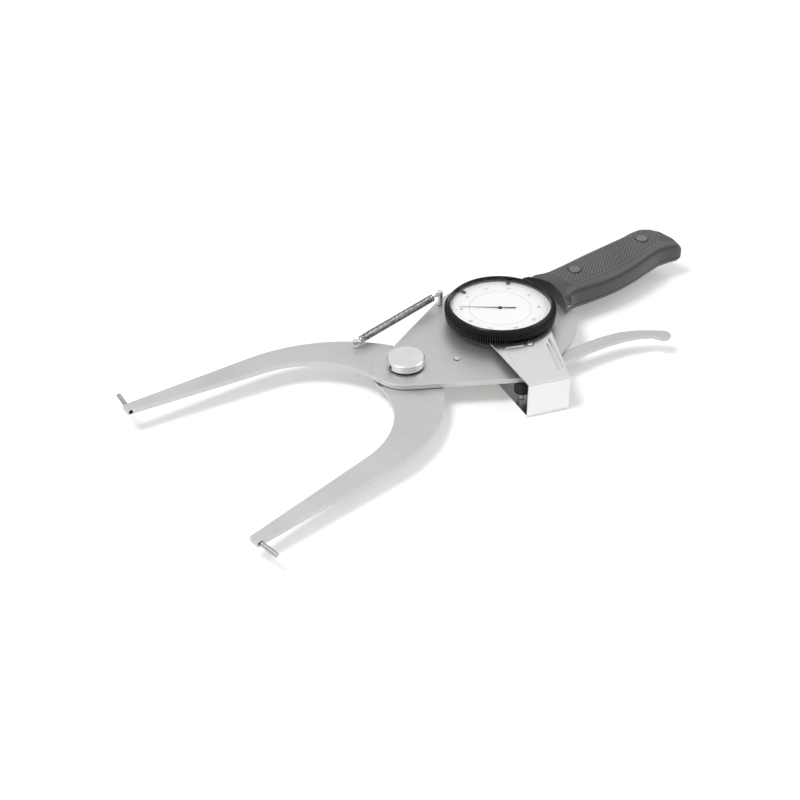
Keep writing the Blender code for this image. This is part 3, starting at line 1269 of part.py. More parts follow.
def grip_pieces(body):
    """Upper and lower shell, hollowed for the plate and its tang, with screws, nuts and plugs."""
    deep = GRIP_BOTTOM + OVERRUN
    tall = GRIP_TOP + OVERRUN
    dial = (DIAL_X, 0)
    front = FAN_RADIUS - GRIP_OVERLAP
    upper = grip_shell_mesh("grip_upper_shell", 1)
    lower = grip_shell_mesh("grip_lower_shell", -1)
    upper = cut_mesh(upper, rod_mesh("front", dial, front, -deep, tall, FINE_STEPS))
    lower = cut_mesh(lower, rod_mesh("front", dial, front, -deep, tall, FINE_STEPS))
    upper = cut_mesh(upper, plate_pocket(-deep, GAP))
    lower = cut_mesh(lower, plate_pocket(-PLATE_THICK - GAP, tall))
    plug_seat = GRIP_TOP - PLUG_THICK + PLUG_PROUD
    counter = -GRIP_BOTTOM + GRIP_COUNTERBORE
    upper_holes, lower_holes = [], []
    for place in ledge_screw_places():
        upper_holes.append(headed_pin("hole", place, SCREW_RADIUS + GAP, LEDGE_SEAT_RADIUS,
                                      GRIP_LEDGE_TOP, tall, -OVERRUN))
    for place in grip_screw_places():
        upper_holes.append(headed_pin("hole", place, GRIP_NUT_RADIUS + GAP, PLUG_RADIUS + GAP,
                                      plug_seat - GAP, tall, -OVERRUN, ROUND_STEPS))
        lower_holes.append(headed_pin("hole", place, GRIP_SCREW_RADIUS + GAP,
                                      GRIP_SCREW_HEAD_RADIUS + GAP, counter, deep, tall))
    upper = cut_mesh(upper, join_meshes(upper_holes, "holes"))
    lower = cut_mesh(lower, join_meshes(lower_holes, "holes"))
    add_piece("grip_upper_shell", upper, body, "grip_plastic")
    add_piece("grip_lower_shell", lower, body, "grip_plastic")
    nut_high = plug_seat - GAP - GAP
    for number, place in enumerate(grip_screw_places(), start=1):
        name = "grip_plug_" + str(number)
        plug = rod_mesh(name, place, PLUG_RADIUS, plug_seat, plug_seat + PLUG_THICK, ROUND_STEPS)
        add_piece(name, plug, body, "grip_plastic")
        name = "grip_nut_" + str(number)
        hole = circle(place, GRIP_SCREW_RADIUS + GAP)
        nut = sheet_mesh(name, circle(place, GRIP_NUT_RADIUS), GAP, nut_high, (hole,))
        add_piece(name, nut, body, "brass")
    add_screws("grip_screw", grip_screw_places(), (GRIP_SCREW_RADIUS, GRIP_SCREW_HEAD_RADIUS),
               (counter - GAP, GRIP_SCREW_HEAD_HEIGHT, nut_high), body)
    add_screws("ledge_screw", ledge_screw_places(), (SCREW_RADIUS, LEDGE_SCREW_HEAD_RADIUS),
               (GRIP_LEDGE_TOP + GAP, SCREW_HEAD_HEIGHT, -PLATE_THICK), body)


def stand_on_origin(tool):
    """Move the tool so that the origin lies in the middle of its footprint."""
    bpy.context.view_layer.update()
    graph = bpy.context.evaluated_depsgraph_get()
    low, high = Vector((math.inf,) * 3), Vector((-math.inf,) * 3)
    for piece in bpy.context.scene.objects:
        if piece.type not in {"MESH", "CURVE"}:
            continue
        seen = piece.evaluated_get(graph)
        shape = seen.to_mesh()
        for vertex in shape.vertices:
            spot = seen.matrix_world @ vertex.co
            low = Vector(map(min, low, spot))
            high = Vector(map(max, high, spot))
        seen.to_mesh_clear()
    tool.location = (-(low.x + high.x) / 2, -(low.y + high.y) / 2, -low.z)
    print("size in mm", [round(1000 * v, 2) for v in high - low])
    print("pivot in mm", [round(1000 * v, 3) for v in tool.location])


def main():
    """Build the whole gauge."""
    clear_scene()
    tool = empty("tool_frame", (0, 0, 0))
    frame = empty("frame_body", (0, 0, 0), tool)
    moving = empty("moving_arm_body", (0, 0, 0), tool)
    arbor = empty("first_arbor_body", (ARBOR_X, 0, 0), tool)
    needle = empty("needle_body", (DIAL_X, 0, 0), tool)
    bezel = empty("bezel_body", (DIAL_X, 0, 0), tool)
    fan_plate(frame)
    near_arm(frame)
    contact_pieces("near", frame, -1, 0, near_place(LEVER_TOP - NEAR_THICK / 2))
    pivot_pieces(frame)
    spacer_pin(frame)
    spring_post("frame_spring_post", apex_post_place(), APEX_POST_RADIUS, APEX_POST_HEIGHT, frame)
    dial_case(frame)
    movement_bracket(frame)
    lower_bridge(frame)
    lever_guard(frame)
    guard_fasteners(frame)
    grip_pieces(frame)
    return_spring(frame)
    far_arm(moving)
    contact_pieces("far", moving, 1, -FAR_ARM_OPEN, (0, 0, -PLATE_THICK / 2))
    spring_post("arm_spring_post", (FAR_POST_X, FAR_POST_Y), FAR_POST_RADIUS, FAR_POST_HEIGHT, moving)
    lever_plate(moving)
    arm_rivets(moving)
    gear_sector(moving)
    first_arbor(arbor)
    needle_pieces(needle)
    hairspring(frame)
    bezel_pieces(bezel)
    for number, degrees in enumerate(MARKER_ANGLES, start=1):
        holder = empty("limit_marker_body_" + str(number), (0, 0, 0), bezel)
        limit_marker("limit_marker_" + str(number), degrees, holder)
    stand_on_origin(tool)


main()
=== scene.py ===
"""Internal dial caliper gauge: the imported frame, dressed with its finishes and fine shapes."""
import math

import bmesh
import bpy
from mathutils import Matrix, Vector
from mathutils.bvhtree import BVHTree


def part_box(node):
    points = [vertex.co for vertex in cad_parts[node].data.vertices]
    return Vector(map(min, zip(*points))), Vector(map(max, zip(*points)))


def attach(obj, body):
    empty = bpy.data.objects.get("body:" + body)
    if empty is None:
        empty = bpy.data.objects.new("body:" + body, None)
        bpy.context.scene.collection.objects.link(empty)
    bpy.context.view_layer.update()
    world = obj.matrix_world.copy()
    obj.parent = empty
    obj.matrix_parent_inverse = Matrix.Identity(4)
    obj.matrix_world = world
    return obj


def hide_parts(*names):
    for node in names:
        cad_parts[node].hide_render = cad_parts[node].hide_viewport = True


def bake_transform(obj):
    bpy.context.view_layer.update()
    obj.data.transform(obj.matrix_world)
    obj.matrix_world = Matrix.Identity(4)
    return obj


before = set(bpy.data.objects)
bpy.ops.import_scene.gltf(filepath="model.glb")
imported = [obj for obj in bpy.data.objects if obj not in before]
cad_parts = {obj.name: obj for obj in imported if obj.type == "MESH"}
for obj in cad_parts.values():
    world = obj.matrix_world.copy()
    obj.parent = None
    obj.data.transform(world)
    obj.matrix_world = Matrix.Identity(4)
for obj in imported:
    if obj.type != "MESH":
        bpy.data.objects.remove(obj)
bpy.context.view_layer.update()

MM = 0.001
# Lengths below are in millimetres, in the tool's own frame: see at().
DIAL_REACH = 64.35
SEAM_RADIUS = 17.83
ARM_CURVE_RADIUS = 47.0
DIAL_TOP = 8.3
GUARD_TOP = 5.6
GRIP_START, GRIP_LENGTH = 93.35, 97.0
# The camera's focal length in pixels, for a picture 800 pixels wide.
FOCAL_PIXELS, PICTURE_WIDTH = 1284.64, 800
# How much light of its own the floor shows to the camera and in reflections.
FLOOR_LIFT = 0.25


def at(x, y, z=0.0):
    """A place in the tool's own millimetres: from the pivot towards the grip, and up from the plate."""
    return ORIGIN + Vector((x, y, z)) * MM


def height(z):
    """How many millimetres a level of the scene lies above the fan plate."""
    return (z - ORIGIN.z) / MM


def middle(node):
    """The middle of a node's box."""
    low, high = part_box(node)
    return (low + high) / 2


def axis_of(node):
    """The place on a node's upright axis that is level with the fan plate."""
    return Vector((middle(node).x, middle(node).y, ORIGIN.z))


dial_middle = middle("dial_face")
ORIGIN = Vector((dial_middle.x - DIAL_REACH * MM, dial_middle.y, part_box("fan_plate")[1].z))


# Colours and node trees

def linear(hex_colour):
    """An sRGB hex colour as linear red, green, blue and alpha."""
    parts = [int(hex_colour[i:i + 2], 16) / 255 for i in (1, 3, 5)]
    return [p / 12.92 if p <= 0.04045 else ((p + 0.055) / 1.055) ** 2.4 for p in parts] + [1.0]


def add_node(tree, kind, settings, inputs):
    """Adds a node with its settings; each input takes a value or a link from another node's output."""
    node = tree.nodes.new(kind)
    for name, value in settings.items():
        setattr(node, name, value)
    for key, value in inputs.items():
        if isinstance(value, bpy.types.NodeSocket):
            tree.links.new(value, node.inputs[key])
        else:
            node.inputs[key].default_value = value
    return node


def finish(name, light, dark, rough, grit, depth, sockets, spread=22 * MM, stretch=(1, 1, 1),
           turn=0.0):
    """A finish: two tones in soft clouds, a roughness range, and a grit of a real size and depth."""
    material = bpy.data.materials.new(name)
    material.use_nodes = True
    tree = material.node_tree
    shader = tree.nodes["Principled BSDF"]
    place = add_node(tree, "ShaderNodeTexCoord", {}, {})
    laid = add_node(tree, "ShaderNodeMapping", {}, {
        "Vector": place.outputs["Object"], "Rotation": (0, 0, math.radians(turn)), "Scale": stretch})
    clouds = add_node(tree, "ShaderNodeTexNoise", {}, {
        "Vector": laid.outputs["Vector"], "Scale": 1 / spread, "Detail": 3.0, "Roughness": 0.55})
    grain = add_node(tree, "ShaderNodeTexNoise", {}, {
        "Vector": laid.outputs["Vector"], "Scale": 1 / grit, "Detail": 4.0, "Roughness": 0.6})
    tones = add_node(tree, "ShaderNodeValToRGB", {}, {"Fac": clouds.outputs["Fac"]})
    tones.color_ramp.elements[0].position = 0.3
    tones.color_ramp.elements[1].position = 0.7
    tones.color_ramp.elements[0].color = linear(dark)
    tones.color_ramp.elements[1].color = linear(light)
    wear = add_node(tree, "ShaderNodeMapRange", {}, {
        "Value": grain.outputs["Fac"], "From Min": 0.3, "From Max": 0.7,
        "To Min": rough[0], "To Max": rough[1]})
    bump = add_node(tree, "ShaderNodeBump", {}, {
        "Height": grain.outputs["Fac"], "Strength": 1.0, "Distance": depth})
    tree.links.new(tones.outputs["Color"], shader.inputs["Base Color"])
    tree.links.new(wear.outputs["Result"], shader.inputs["Roughness"])
    tree.links.new(bump.outputs["Normal"], shader.inputs["Normal"])
    for key, value in sockets.items():
        shader.inputs[key].default_value = value
    return material


def paint_groove_shade(material, hex_colour):
    """Paints shade into a finish: darker where the piece's own attribute says a point lies deep in a
    groove.
    """
    tree = material.node_tree
    shader = tree.nodes["Principled BSDF"]
    plain = shader.inputs["Base Color"].links[0].from_socket
    depth = add_node(tree, "ShaderNodeAttribute", {"attribute_name": "groove_shade"}, {})
    mixed = add_node(tree, "ShaderNodeMix", {"data_type": "RGBA"}, {
        0: depth.outputs["Fac"], 6: plain, 7: linear(hex_colour)})
    tree.links.new(mixed.outputs[2], shader.inputs["Base Color"])


METAL = {"Metallic": 1.0}

# Satin-chromed sheet steel, bead-blasted before plating: an even silver grey with soft, wide
# highlights and no mirror image. The blast pits are really about 0.1 mm; drawn at 0.4 mm so that
# they show at all.
satin_chrome = finish("satin_chromed_steel", "#cfcfcf", "#c8c8c8", (0.42, 0.52), 0.4 * MM,
                      0.006 * MM, METAL)
# Bright nickel on turned steel, brushed flat: nearly white, with short soft highlights.
bright_nickel = finish("bright_nickel_plate", "#e8e8e8", "#dedede", (0.26, 0.34), 0.5 * MM,
                       0.002 * MM, METAL, spread=6 * MM)
# Ground tool steel of the contacts: a plain mid grey with a dull shine.
ground_steel = finish("ground_tool_steel", "#bdbdbd", "#aeaeae", (0.3, 0.4), 0.3 * MM,
                      0.002 * MM, METAL, spread=3 * MM)
# Cold-rolled stainless strip, brushed across the guard's bend: bright, with soft reflections.
polished_stainless = finish("brushed_stainless_strip", "#e6e6e6", "#e0e0e0", (0.2, 0.26), 0.9 * MM,
                            0.0004 * MM, METAL, stretch=(1.0, 0.08, 1.0), turn=20.7)
# Black stove enamel on turned brass: deep black with a thin gloss and a faint orange peel.
black_enamel = finish("black_stove_enamel", "#080808", "#050505", (0.2, 0.28), 1.2 * MM,
                      0.004 * MM,
                      {"Specular IOR Level": 0.25, "Coat Weight": 0.12, "Coat Roughness": 0.1})
# Black moulded acetal of the limit markers: dull black.
black_acetal = finish("moulded_black_acetal", "#1b1b1b", "#151515", (0.45, 0.55), 0.4 * MM,
                      0.003 * MM, {})
# Zinc die casting, tumbled: a dull mid grey with a fine skin.
zinc_casting = finish("tumbled_zinc_casting", "#a9abac", "#9fa1a2", (0.38, 0.5), 0.35 * MM,
                      0.008 * MM, METAL)
# Clock brass, milled and left bare: warm yellow with fine tool lines.
clock_brass = finish("milled_clock_brass", "#c9b483", "#b9a374", (0.22, 0.34), 0.5 * MM,
                     0.003 * MM, METAL, stretch=(1.0, 0.15, 1.0))
# White dial enamel, screen-print ground: a clean white without gloss.
dial_enamel = finish("white_dial_enamel", "#fcfcfb", "#fafaf9", (0.45, 0.55), 0.6 * MM,
                     0.001 * MM, {})
# Glass-fibre nylon, moulded and rubbed smooth by hands: charcoal grey with a broad wet sheen.
moulded_nylon = finish("moulded_charcoal_nylon", "#434344", "#3c3c3d", (0.28, 0.38), 0.45 * MM,
                       0.006 * MM, {"Specular IOR Level": 0.6})
# The same nylon where it is ribbed: left with its spark texture, so it is duller; the crests carry a
# paler grey than the shells, and painted shade darkens the grooves towards black.
ribbed_nylon = finish("spark_textured_nylon", "#78787a", "#6e6e70", (0.42, 0.55), 0.3 * MM,
                      0.012 * MM, {"Specular IOR Level": 0.5})
paint_groove_shade(ribbed_nylon, "#161617")
# Polished nylon of the plugs: a lighter charcoal than the shells, with a small clear highlight.
plug_nylon = finish("polished_charcoal_nylon", "#6c6c6d", "#636364", (0.2, 0.28), 0.5 * MM,
                    0.002 * MM, {"Specular IOR Level": 0.6})
# Nitrile rubber, moulded: dull black that swallows the light.
nitrile_rubber = finish("moulded_nitrile_rubber", "#131313", "#0f0f0f", (0.6, 0.75), 0.5 * MM,
                        0.012 * MM, {})
# Music wire, cold drawn: mid grey with dark patches as painted reflection of dark surroundings,
# and thin sharp lights.
music_wire = finish("drawn_music_wire", "#b2b2b2", "#6c6c6c", (0.12, 0.2), 0.3 * MM,
                    0.002 * MM, METAL, spread=1.6 * MM)
# Black oxide on hardened steel: near black with a dull metallic glint.
black_oxide = finish("black_oxide_steel", "#2a2a2b", "#202021", (0.3, 0.42), 0.4 * MM,
                     0.004 * MM, METAL)
# Printing ink on the dial: a thin flat grey that lets the white shine through.
dial_ink = finish("dial_printing_ink", "#9b9b9b", "#909090", (0.55, 0.65), 0.3 * MM, 0.001 * MM, {})
# Clear acrylic of the watch crystal, turned and polished: seen through, with a thin white haze and a
# gloss that lies over the dial.
crystal_glass = finish("clear_acrylic_crystal", "#ffffff", "#fbfbfb", (0.02, 0.05), 2.0 * MM,
                       0.001 * MM, {"Alpha": 0.05, "Coat Weight": 0.0})

FINISHES = {
    "satin_steel": satin_chrome, "bright_steel": bright_nickel, "polished_steel": polished_stainless,
    "black_metal": black_enamel, "case_metal": zinc_casting, "brass": clock_brass,
    "white_enamel": dial_enamel, "clear_crystal": crystal_glass, "grip_plastic": moulded_nylon,
    "black_rubber": nitrile_rubber, "spring_steel": music_wire,
}


# Making pieces

def linked(name, data):
    """A new object in the scene."""
    holder = bpy.data.objects.new(name, data)
    bpy.context.scene.collection.objects.link(holder)
    return holder


def plain_mesh(holder):
    """The finished mesh of a helper object, which is then removed."""
    depsgraph = bpy.context.evaluated_depsgraph_get()
    mesh = bpy.data.meshes.new_from_object(holder.evaluated_get(depsgraph))
    holder.modifiers.clear()
    bpy.data.objects.remove(holder)
    return mesh


def closed(bm, mesh):
    """Merges doubles, turns the faces outwards and writes the mesh."""
    bmesh.ops.remove_doubles(bm, verts=bm.verts, dist=1e-7)
    bmesh.ops.recalc_face_normals(bm, faces=bm.faces)
    bm.to_mesh(mesh)
    bm.free()


def add_piece(name, mesh, material, body, replaced=(), sharp=35):
    """Puts a mesh in the scene as a piece of the gauge that moves with a body."""
    mesh.materials.clear()
    mesh.materials.append(material)
    for polygon in mesh.polygons:
        polygon.use_smooth = True
        polygon.material_index = 0
    mesh.set_sharp_from_angle(angle=math.radians(sharp))
    piece = linked(name, mesh)
    if replaced:
        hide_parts(*replaced)
    if body:
        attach(piece, body)
    return piece


def softened(node, width, material, body, angle=38, segments=3, shift=None, plain=None):
    """A node's own shape with its sharp edges rounded; shift moves its corners a little, and plain
    names the edges that stay sharp to the eye, by their middle."""
    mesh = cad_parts[node].data.copy()
    bm = bmesh.new()
    bm.from_mesh(mesh)
    bmesh.ops.remove_doubles(bm, verts=bm.verts, dist=1e-6)
    bmesh.ops.dissolve_limit(bm, angle_limit=math.radians(0.6), verts=bm.verts, edges=bm.edges)
    for corner in bm.verts if shift else ():
        corner.co = shift(corner.co)
    rounding = bm.edges.layers.float.new("bevel_weight_edge")
    for edge in bm.edges:
        bent = len(edge.link_faces) == 2 and edge.calc_face_angle(0.0) > math.radians(angle)
        kept = plain and plain((edge.verts[0].co + edge.verts[1].co) / 2)
        edge[rounding] = (0.04 if kept else 1.0) if bent else 0.0
    bm.to_mesh(mesh)
    bm.free()
    piece = add_piece(node + "_rounded", mesh, material, body, (node,), sharp=angle)
    edge = piece.modifiers.new("rounded edges", "BEVEL")
    edge.width = width
    edge.segments = segments
    edge.limit_method = "WEIGHT"
    edge.use_clamp_overlap = True
    edge.harden_normals = True
    return piece


def turned(name, profile, centre, steps=96, sunk=None):
    """A turned piece: a closed profile of (radius, height) in millimetres, spun about a centre; sunk
    gives how deep a point lies below it, from its radius, its height and its step round the piece."""
    bm = bmesh.new()
    rings = []
    for i in range(steps):
        angle = 2 * math.pi * i / steps
        ring = []
        for reach, z in profile:
            r = reach - (sunk(reach, z, i) if sunk else 0.0)
            spot = Vector((r * math.cos(angle), r * math.sin(angle), z))
            ring.append(bm.verts.new(centre + spot * MM))
        rings.append(ring)
    count = len(profile)
    for i in range(steps):
        first, second = rings[i], rings[(i + 1) % steps]
        for k in range(count):
            n = (k + 1) % count
            bm.faces.new((first[k], second[k], second[n], first[n]))
    mesh = bpy.data.meshes.new(name)
    bmesh.ops.remove_doubles(bm, verts=bm.verts, dist=1e-7)
    bmesh.ops.dissolve_degenerate(bm, edges=bm.edges, dist=1e-7)
    closed(bm, mesh)
    return mesh


def rounded_profile(corners, steps=4):
    """A profile's corners; one that brings a radius as its third number is rounded with it."""
    points = []
    count = len(corners)
    for i, corner in enumerate(corners):
        here = Vector(corner[:2])
        before = Vector(corners[i - 1][:2]) - here
        after = Vector(corners[(i + 1) % count][:2]) - here
        size = corner[2] if len(corner) > 2 else 0.0
        size = min(size, before.length * 0.48, after.length * 0.48)
        if size <= 0 or here.x == 0:
            points.append(tuple(here))
            continue
        start, end = here + before.normalized() * size, here + after.normalized() * size
        for k in range(steps + 1):
            t = k / steps
            points.append(tuple(start * (1 - t) ** 2 + here * 2 * t * (1 - t) + end * t * t))
    return points


def slab(name, outline, low, high):
    """A flat piece: an outline of (x, y) in millimetres between two heights."""
    bm = bmesh.new()
    under = [bm.verts.new(at(x, y, low)) for x, y in outline]
    over = [bm.verts.new(at(x, y, high)) for x, y in outline]
    bm.faces.new(under[::-1])
    bm.faces.new(over)
    count = len(outline)
    for i in range(count):
        n = (i + 1) % count
        bm.faces.new((under[i], under[n], over[n], over[i]))
    mesh = bpy.data.meshes.new(name)
    closed(bm, mesh)
    return mesh


def wire_mesh(name, points, radius):
    """A round wire along points."""
    curve = bpy.data.curves.new(name, "CURVE")
    curve.dimensions = "3D"
    curve.bevel_depth = radius
    curve.bevel_resolution = 3
    curve.use_fill_caps = True
    spline = curve.splines.new("POLY")
    spline.points.add(len(points) - 1)
    for slot, point in zip(spline.points, points):
        slot.co = (*point, 1)
    return plain_mesh(linked(name, curve))


def joined(name, meshes):
    """Several meshes as one."""
    bm = bmesh.new()
    for mesh in meshes:
        bm.from_mesh(mesh)
    whole = bpy.data.meshes.new(name)
    bm.to_mesh(whole)
    bm.free()
    return whole


def on_dial(reach, side, degrees):
    """A place on a line out of the dial's middle at an angle: how far along it, how far beside it."""
    angle = math.radians(degrees)
    return (DIAL_REACH + reach * math.cos(angle) - side * math.sin(angle),
            reach * math.sin(angle) + side * math.cos(angle))


# Pieces that repeat, grown from node trees

def new_tree(name, inputs):
    """An empty geometry tree with named inputs; gives the tree, its input node and its output node."""
    tree = bpy.data.node_groups.new(name, "GeometryNodeTree")
    tree.interface.new_socket("Geometry", in_out="INPUT", socket_type="NodeSocketGeometry")
    tree.interface.new_socket("Geometry", in_out="OUTPUT", socket_type="NodeSocketGeometry")
    for label, kind in inputs:
        tree.interface.new_socket(label, in_out="INPUT", socket_type="NodeSocket" + kind)
    return tree, add_node(tree, "NodeGroupInput", {}, {}), add_node(tree, "NodeGroupOutput", {}, {})


def grow(name, tree, values):
    """Runs a geometry tree with its inputs set, and gives the plain mesh that it makes."""
    holder = linked(name, bpy.data.meshes.new(name))
    modifier = holder.modifiers.new(name, "NODES")
    modifier.node_group = tree
    for item in tree.interface.items_tree:
        if item.in_out == "INPUT" and item.name in values:
            modifier[item.identifier] = values[item.name]
    return plain_mesh(holder)


def dial_mark_tree():
    """Flat bars set round the dial's middle, every fifth and every tenth one longer."""
    tree, given, result = new_tree("dial marks", (
        ("Count", "Int"), ("Radius", "Float"), ("Middle", "Vector"), ("Length", "Float"),
        ("Width", "Float"), ("Thickness", "Float"), ("Fifth", "Float"), ("Tenth", "Float"),
        ("Finish", "Material")))
    ring = add_node(tree, "GeometryNodeMeshCircle", {}, {
        "Vertices": given.outputs["Count"], "Radius": given.outputs["Radius"]})
    size = add_node(tree, "ShaderNodeCombineXYZ", {}, {
        "X": given.outputs["Length"], "Y": given.outputs["Width"], "Z": given.outputs["Thickness"]})
    bar = add_node(tree, "GeometryNodeMeshCube", {}, {"Size": size.outputs["Vector"]})
    back = add_node(tree, "ShaderNodeMath", {"operation": "MULTIPLY"}, {
        0: given.outputs["Length"], 1: -0.5})
    inward = add_node(tree, "ShaderNodeCombineXYZ", {}, {"X": back.outputs["Value"]})
    moved = add_node(tree, "GeometryNodeTransform", {}, {
        "Geometry": bar.outputs["Mesh"], "Translation": inward.outputs["Vector"]})
    place = add_node(tree, "GeometryNodeInputPosition", {}, {})
    parts = add_node(tree, "ShaderNodeSeparateXYZ", {}, {"Vector": place.outputs["Position"]})
    angle = add_node(tree, "ShaderNodeMath", {"operation": "ARCTAN2"}, {
        0: parts.outputs["Y"], 1: parts.outputs["X"]})
    turn = add_node(tree, "ShaderNodeCombineXYZ", {}, {"Z": angle.outputs["Value"]})
    index = add_node(tree, "GeometryNodeInputIndex", {}, {})
    scales = []
    for every, label in ((5, "Fifth"), (10, "Tenth")):
        left = add_node(tree, "ShaderNodeMath", {"operation": "MODULO"}, {
            0: index.outputs["Index"], 1: float(every)})
        hit = add_node(tree, "ShaderNodeMath", {"operation": "LESS_THAN"}, {
            0: left.outputs["Value"], 1: 0.5})
        more = add_node(tree, "ShaderNodeMath", {"operation": "MULTIPLY"}, {
            0: hit.outputs["Value"], 1: given.outputs[label]})
        scales.append(more.outputs["Value"])
    both = add_node(tree, "ShaderNodeMath", {"operation": "MAXIMUM"}, {0: scales[0], 1: scales[1]})
    longer = add_node(tree, "ShaderNodeMath", {"operation": "MAXIMUM"}, {
        0: both.outputs["Value"], 1: 1.0})
    scale = add_node(tree, "ShaderNodeCombineXYZ", {}, {
        "X": longer.outputs["Value"], "Y": 1.0, "Z": 1.0})
    bars = add_node(tree, "GeometryNodeInstanceOnPoints", {}, {
        "Points": ring.outputs["Mesh"], "Instance": moved.outputs["Geometry"],
        "Rotation": turn.outputs["Vector"], "Scale": scale.outputs["Vector"]})
    real = add_node(tree, "GeometryNodeRealizeInstances", {}, {"Geometry": bars.outputs["Instances"]})
    set_down = add_node(tree, "GeometryNodeTransform", {}, {
        "Geometry": real.outputs["Geometry"], "Translation": given.outputs["Middle"]})
    coated = add_node(tree, "GeometryNodeSetMaterial", {}, {
        "Geometry": set_down.outputs["Geometry"], "Material": given.outputs["Finish"]})
    tree.links.new(coated.outputs["Geometry"], result.inputs["Geometry"])
    return tree


def coil_tree():
    """A close-wound coil of round wire that stands on the origin along +Z."""
    tree, given, result = new_tree("spring coil", (
        ("Curls", "Float"), ("Coil radius", "Float"), ("Length", "Float"), ("Wire radius", "Float"),
        ("Finish", "Material")))
    path = add_node(tree, "GeometryNodeCurveSpiral", {}, {
        "Resolution": 14, "Rotations": given.outputs["Curls"],
        "Start Radius": given.outputs["Coil radius"], "End Radius": given.outputs["Coil radius"],
        "Height": given.outputs["Length"]})
    wire = add_node(tree, "GeometryNodeCurvePrimitiveCircle", {}, {
        "Resolution": 7, "Radius": given.outputs["Wire radius"]})
    drawn = add_node(tree, "GeometryNodeCurveToMesh", {}, {
        "Curve": path.outputs["Curve"], "Profile Curve": wire.outputs["Curve"], "Fill Caps": True})
    real = add_node(tree, "GeometryNodeRealizeInstances", {}, {"Geometry": drawn.outputs["Mesh"]})
    coated = add_node(tree, "GeometryNodeSetMaterial", {}, {
        "Geometry": real.outputs["Geometry"], "Material": given.outputs["Finish"]})
    tree.links.new(coated.outputs["Geometry"], result.inputs["Geometry"])
    return tree


# Arms, plate, lever and pivot

def from_pivot(place):
    """How far a place is from the pivot's axis, in millimetres, and its angle there in degrees."""
    away = (place - ORIGIN) / MM
    return math.hypot(away.x, away.y), math.degrees(math.atan2(away.y, away.x))


def on_seam(place):
    """Whether a place is on the seam between the plate's boss and the moving arm's sheet."""
    reach, angle = from_pivot(place)
    return 17.4 < reach < 18.3 and 66.0 < angle < 168.0


def closed_seam(place):
    """Brings the arm's sheet up to the plate's boss, so that the seam is a hair line."""
    if not on_seam(place):
        return place
    reach, _ = from_pivot(place)
    inward = (place.xy - ORIGIN.xy) * (SEAM_RADIUS / reach)
    return Vector((ORIGIN.x + inward.x, ORIGIN.y + inward.y, place.z))


def on_seam_or_rivet(place):
    """Whether a place is on the arm's seam or round one of its rivets."""
    near_rivet = any((place.xy - middle("arm_rivet_" + n).xy).length < 2.2 * MM for n in ("1", "2"))
    reach, angle = from_pivot(place)
    return near_rivet or on_seam(place) or (17.0 < reach < 20.4 and 159.5 < angle < 163.0)


def on_near_toe(place):
    """Whether a place is where the near arm goes over into its toe."""
    reach, angle = from_pivot(place)
    return 16.0 < reach < 21.6 and -158.5 < angle < -156.0


def circle_points(centre, radius, start, end, steps):
    """Points on a circle in the tool's millimetres, from one angle to another."""
    points = []
    for i in range(steps + 1):
        angle = math.radians(start + (end - start) * i / steps)
        points.append((centre[0] + radius * math.cos(angle), centre[1] + radius * math.sin(angle)))
    return points


def arm_toes():
    """The thin toes in which the arms' inner curves run out along the pivot's boss; the near one is
    short, because the lever plate turns past it."""
    for name, curve, boss, levels, body in (
            ("far_arm_toe", circle_points((-64.93, -2.96), ARM_CURVE_RADIUS, 11.35, 2.7, 10),
             circle_points((0, 0), 17.84, 182.5, 161.25, 16), (-2.7, 0.0), "moving_arm"),
            ("near_arm_toe", circle_points((-65.3, 2.9), ARM_CURVE_RADIUS, -13.3, -8.0, 6),
             circle_points((0, 0), 16.45, 196.0, 203.4, 6), (-5.7, -3.0), "frame")):
        outline = curve + boss
        turns = sum(a[0] * b[1] - b[0] * a[1] for a, b in zip(outline, outline[1:] + outline[:1]))
        toe = slab(name, outline if turns > 0 else outline[::-1], *levels)
        add_piece(name, toe, satin_chrome, body)


def sheets_and_pivot():
    """The plated sheets with their rounded edges, and the turned pieces of the pivot."""
    softened("fan_plate", 0.22 * MM, satin_chrome, "frame", plain=on_seam)
    softened("near_arm", 0.22 * MM, satin_chrome, "frame", plain=on_near_toe)
    arm_toes()
    softened("far_arm", 0.22 * MM, satin_chrome, "moving_arm", shift=closed_seam,
             plain=on_seam_or_rivet)
    softened("lever_plate", 0.25 * MM, satin_chrome, "moving_arm")
    for number in ("1", "2"):
        node = "arm_rivet_" + number
        foot = height(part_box(node)[0].z)
        profile = ((0.0, foot), (1.9, foot), (1.9, foot + 0.5), (1.08, foot + 0.6), (1.08, -2.75),
                   (1.38, -2.7), (1.38, 0.0), (0.0, 0.0))
        rivet = turned(node, profile, axis_of(node), 48)
        add_piece(node + "_flush", rivet, satin_chrome, "moving_arm", (node,))
    for node, body in (("near_contact_pin", "frame"), ("far_contact_pin", "moving_arm")):
        softened(node, 0.25 * MM, ground_steel, body)
    softened("pivot_knob", 0.3 * MM, bright_nickel, "frame")
    for node in ("upper_washer", "knob_set_screw"):
        softened(node, 0.08 * MM, black_oxide, "frame")
    for node, body in (("spacer_pin", "frame"), ("frame_spring_post", "frame"),
                       ("arm_spring_post", "moving_arm")):
        softened(node, 0.15 * MM, bright_nickel, body)
    for node, body in (("far_contact_set_screw", "moving_arm"), ("near_contact_set_screw", "frame")):
        softened(node, 0.08 * MM, black_oxide, body)


# Dial

def knurl(reach, height, step):
    """How deep the bezel's straight knurl is cut at a point: 144 ribs round its outer wall."""
    if reach < 28.0 or not 4.5 < height < 11.0:
        return 0.0
    return (0.0, 0.0, 0.35, 0.6, 0.35)[step % 5]


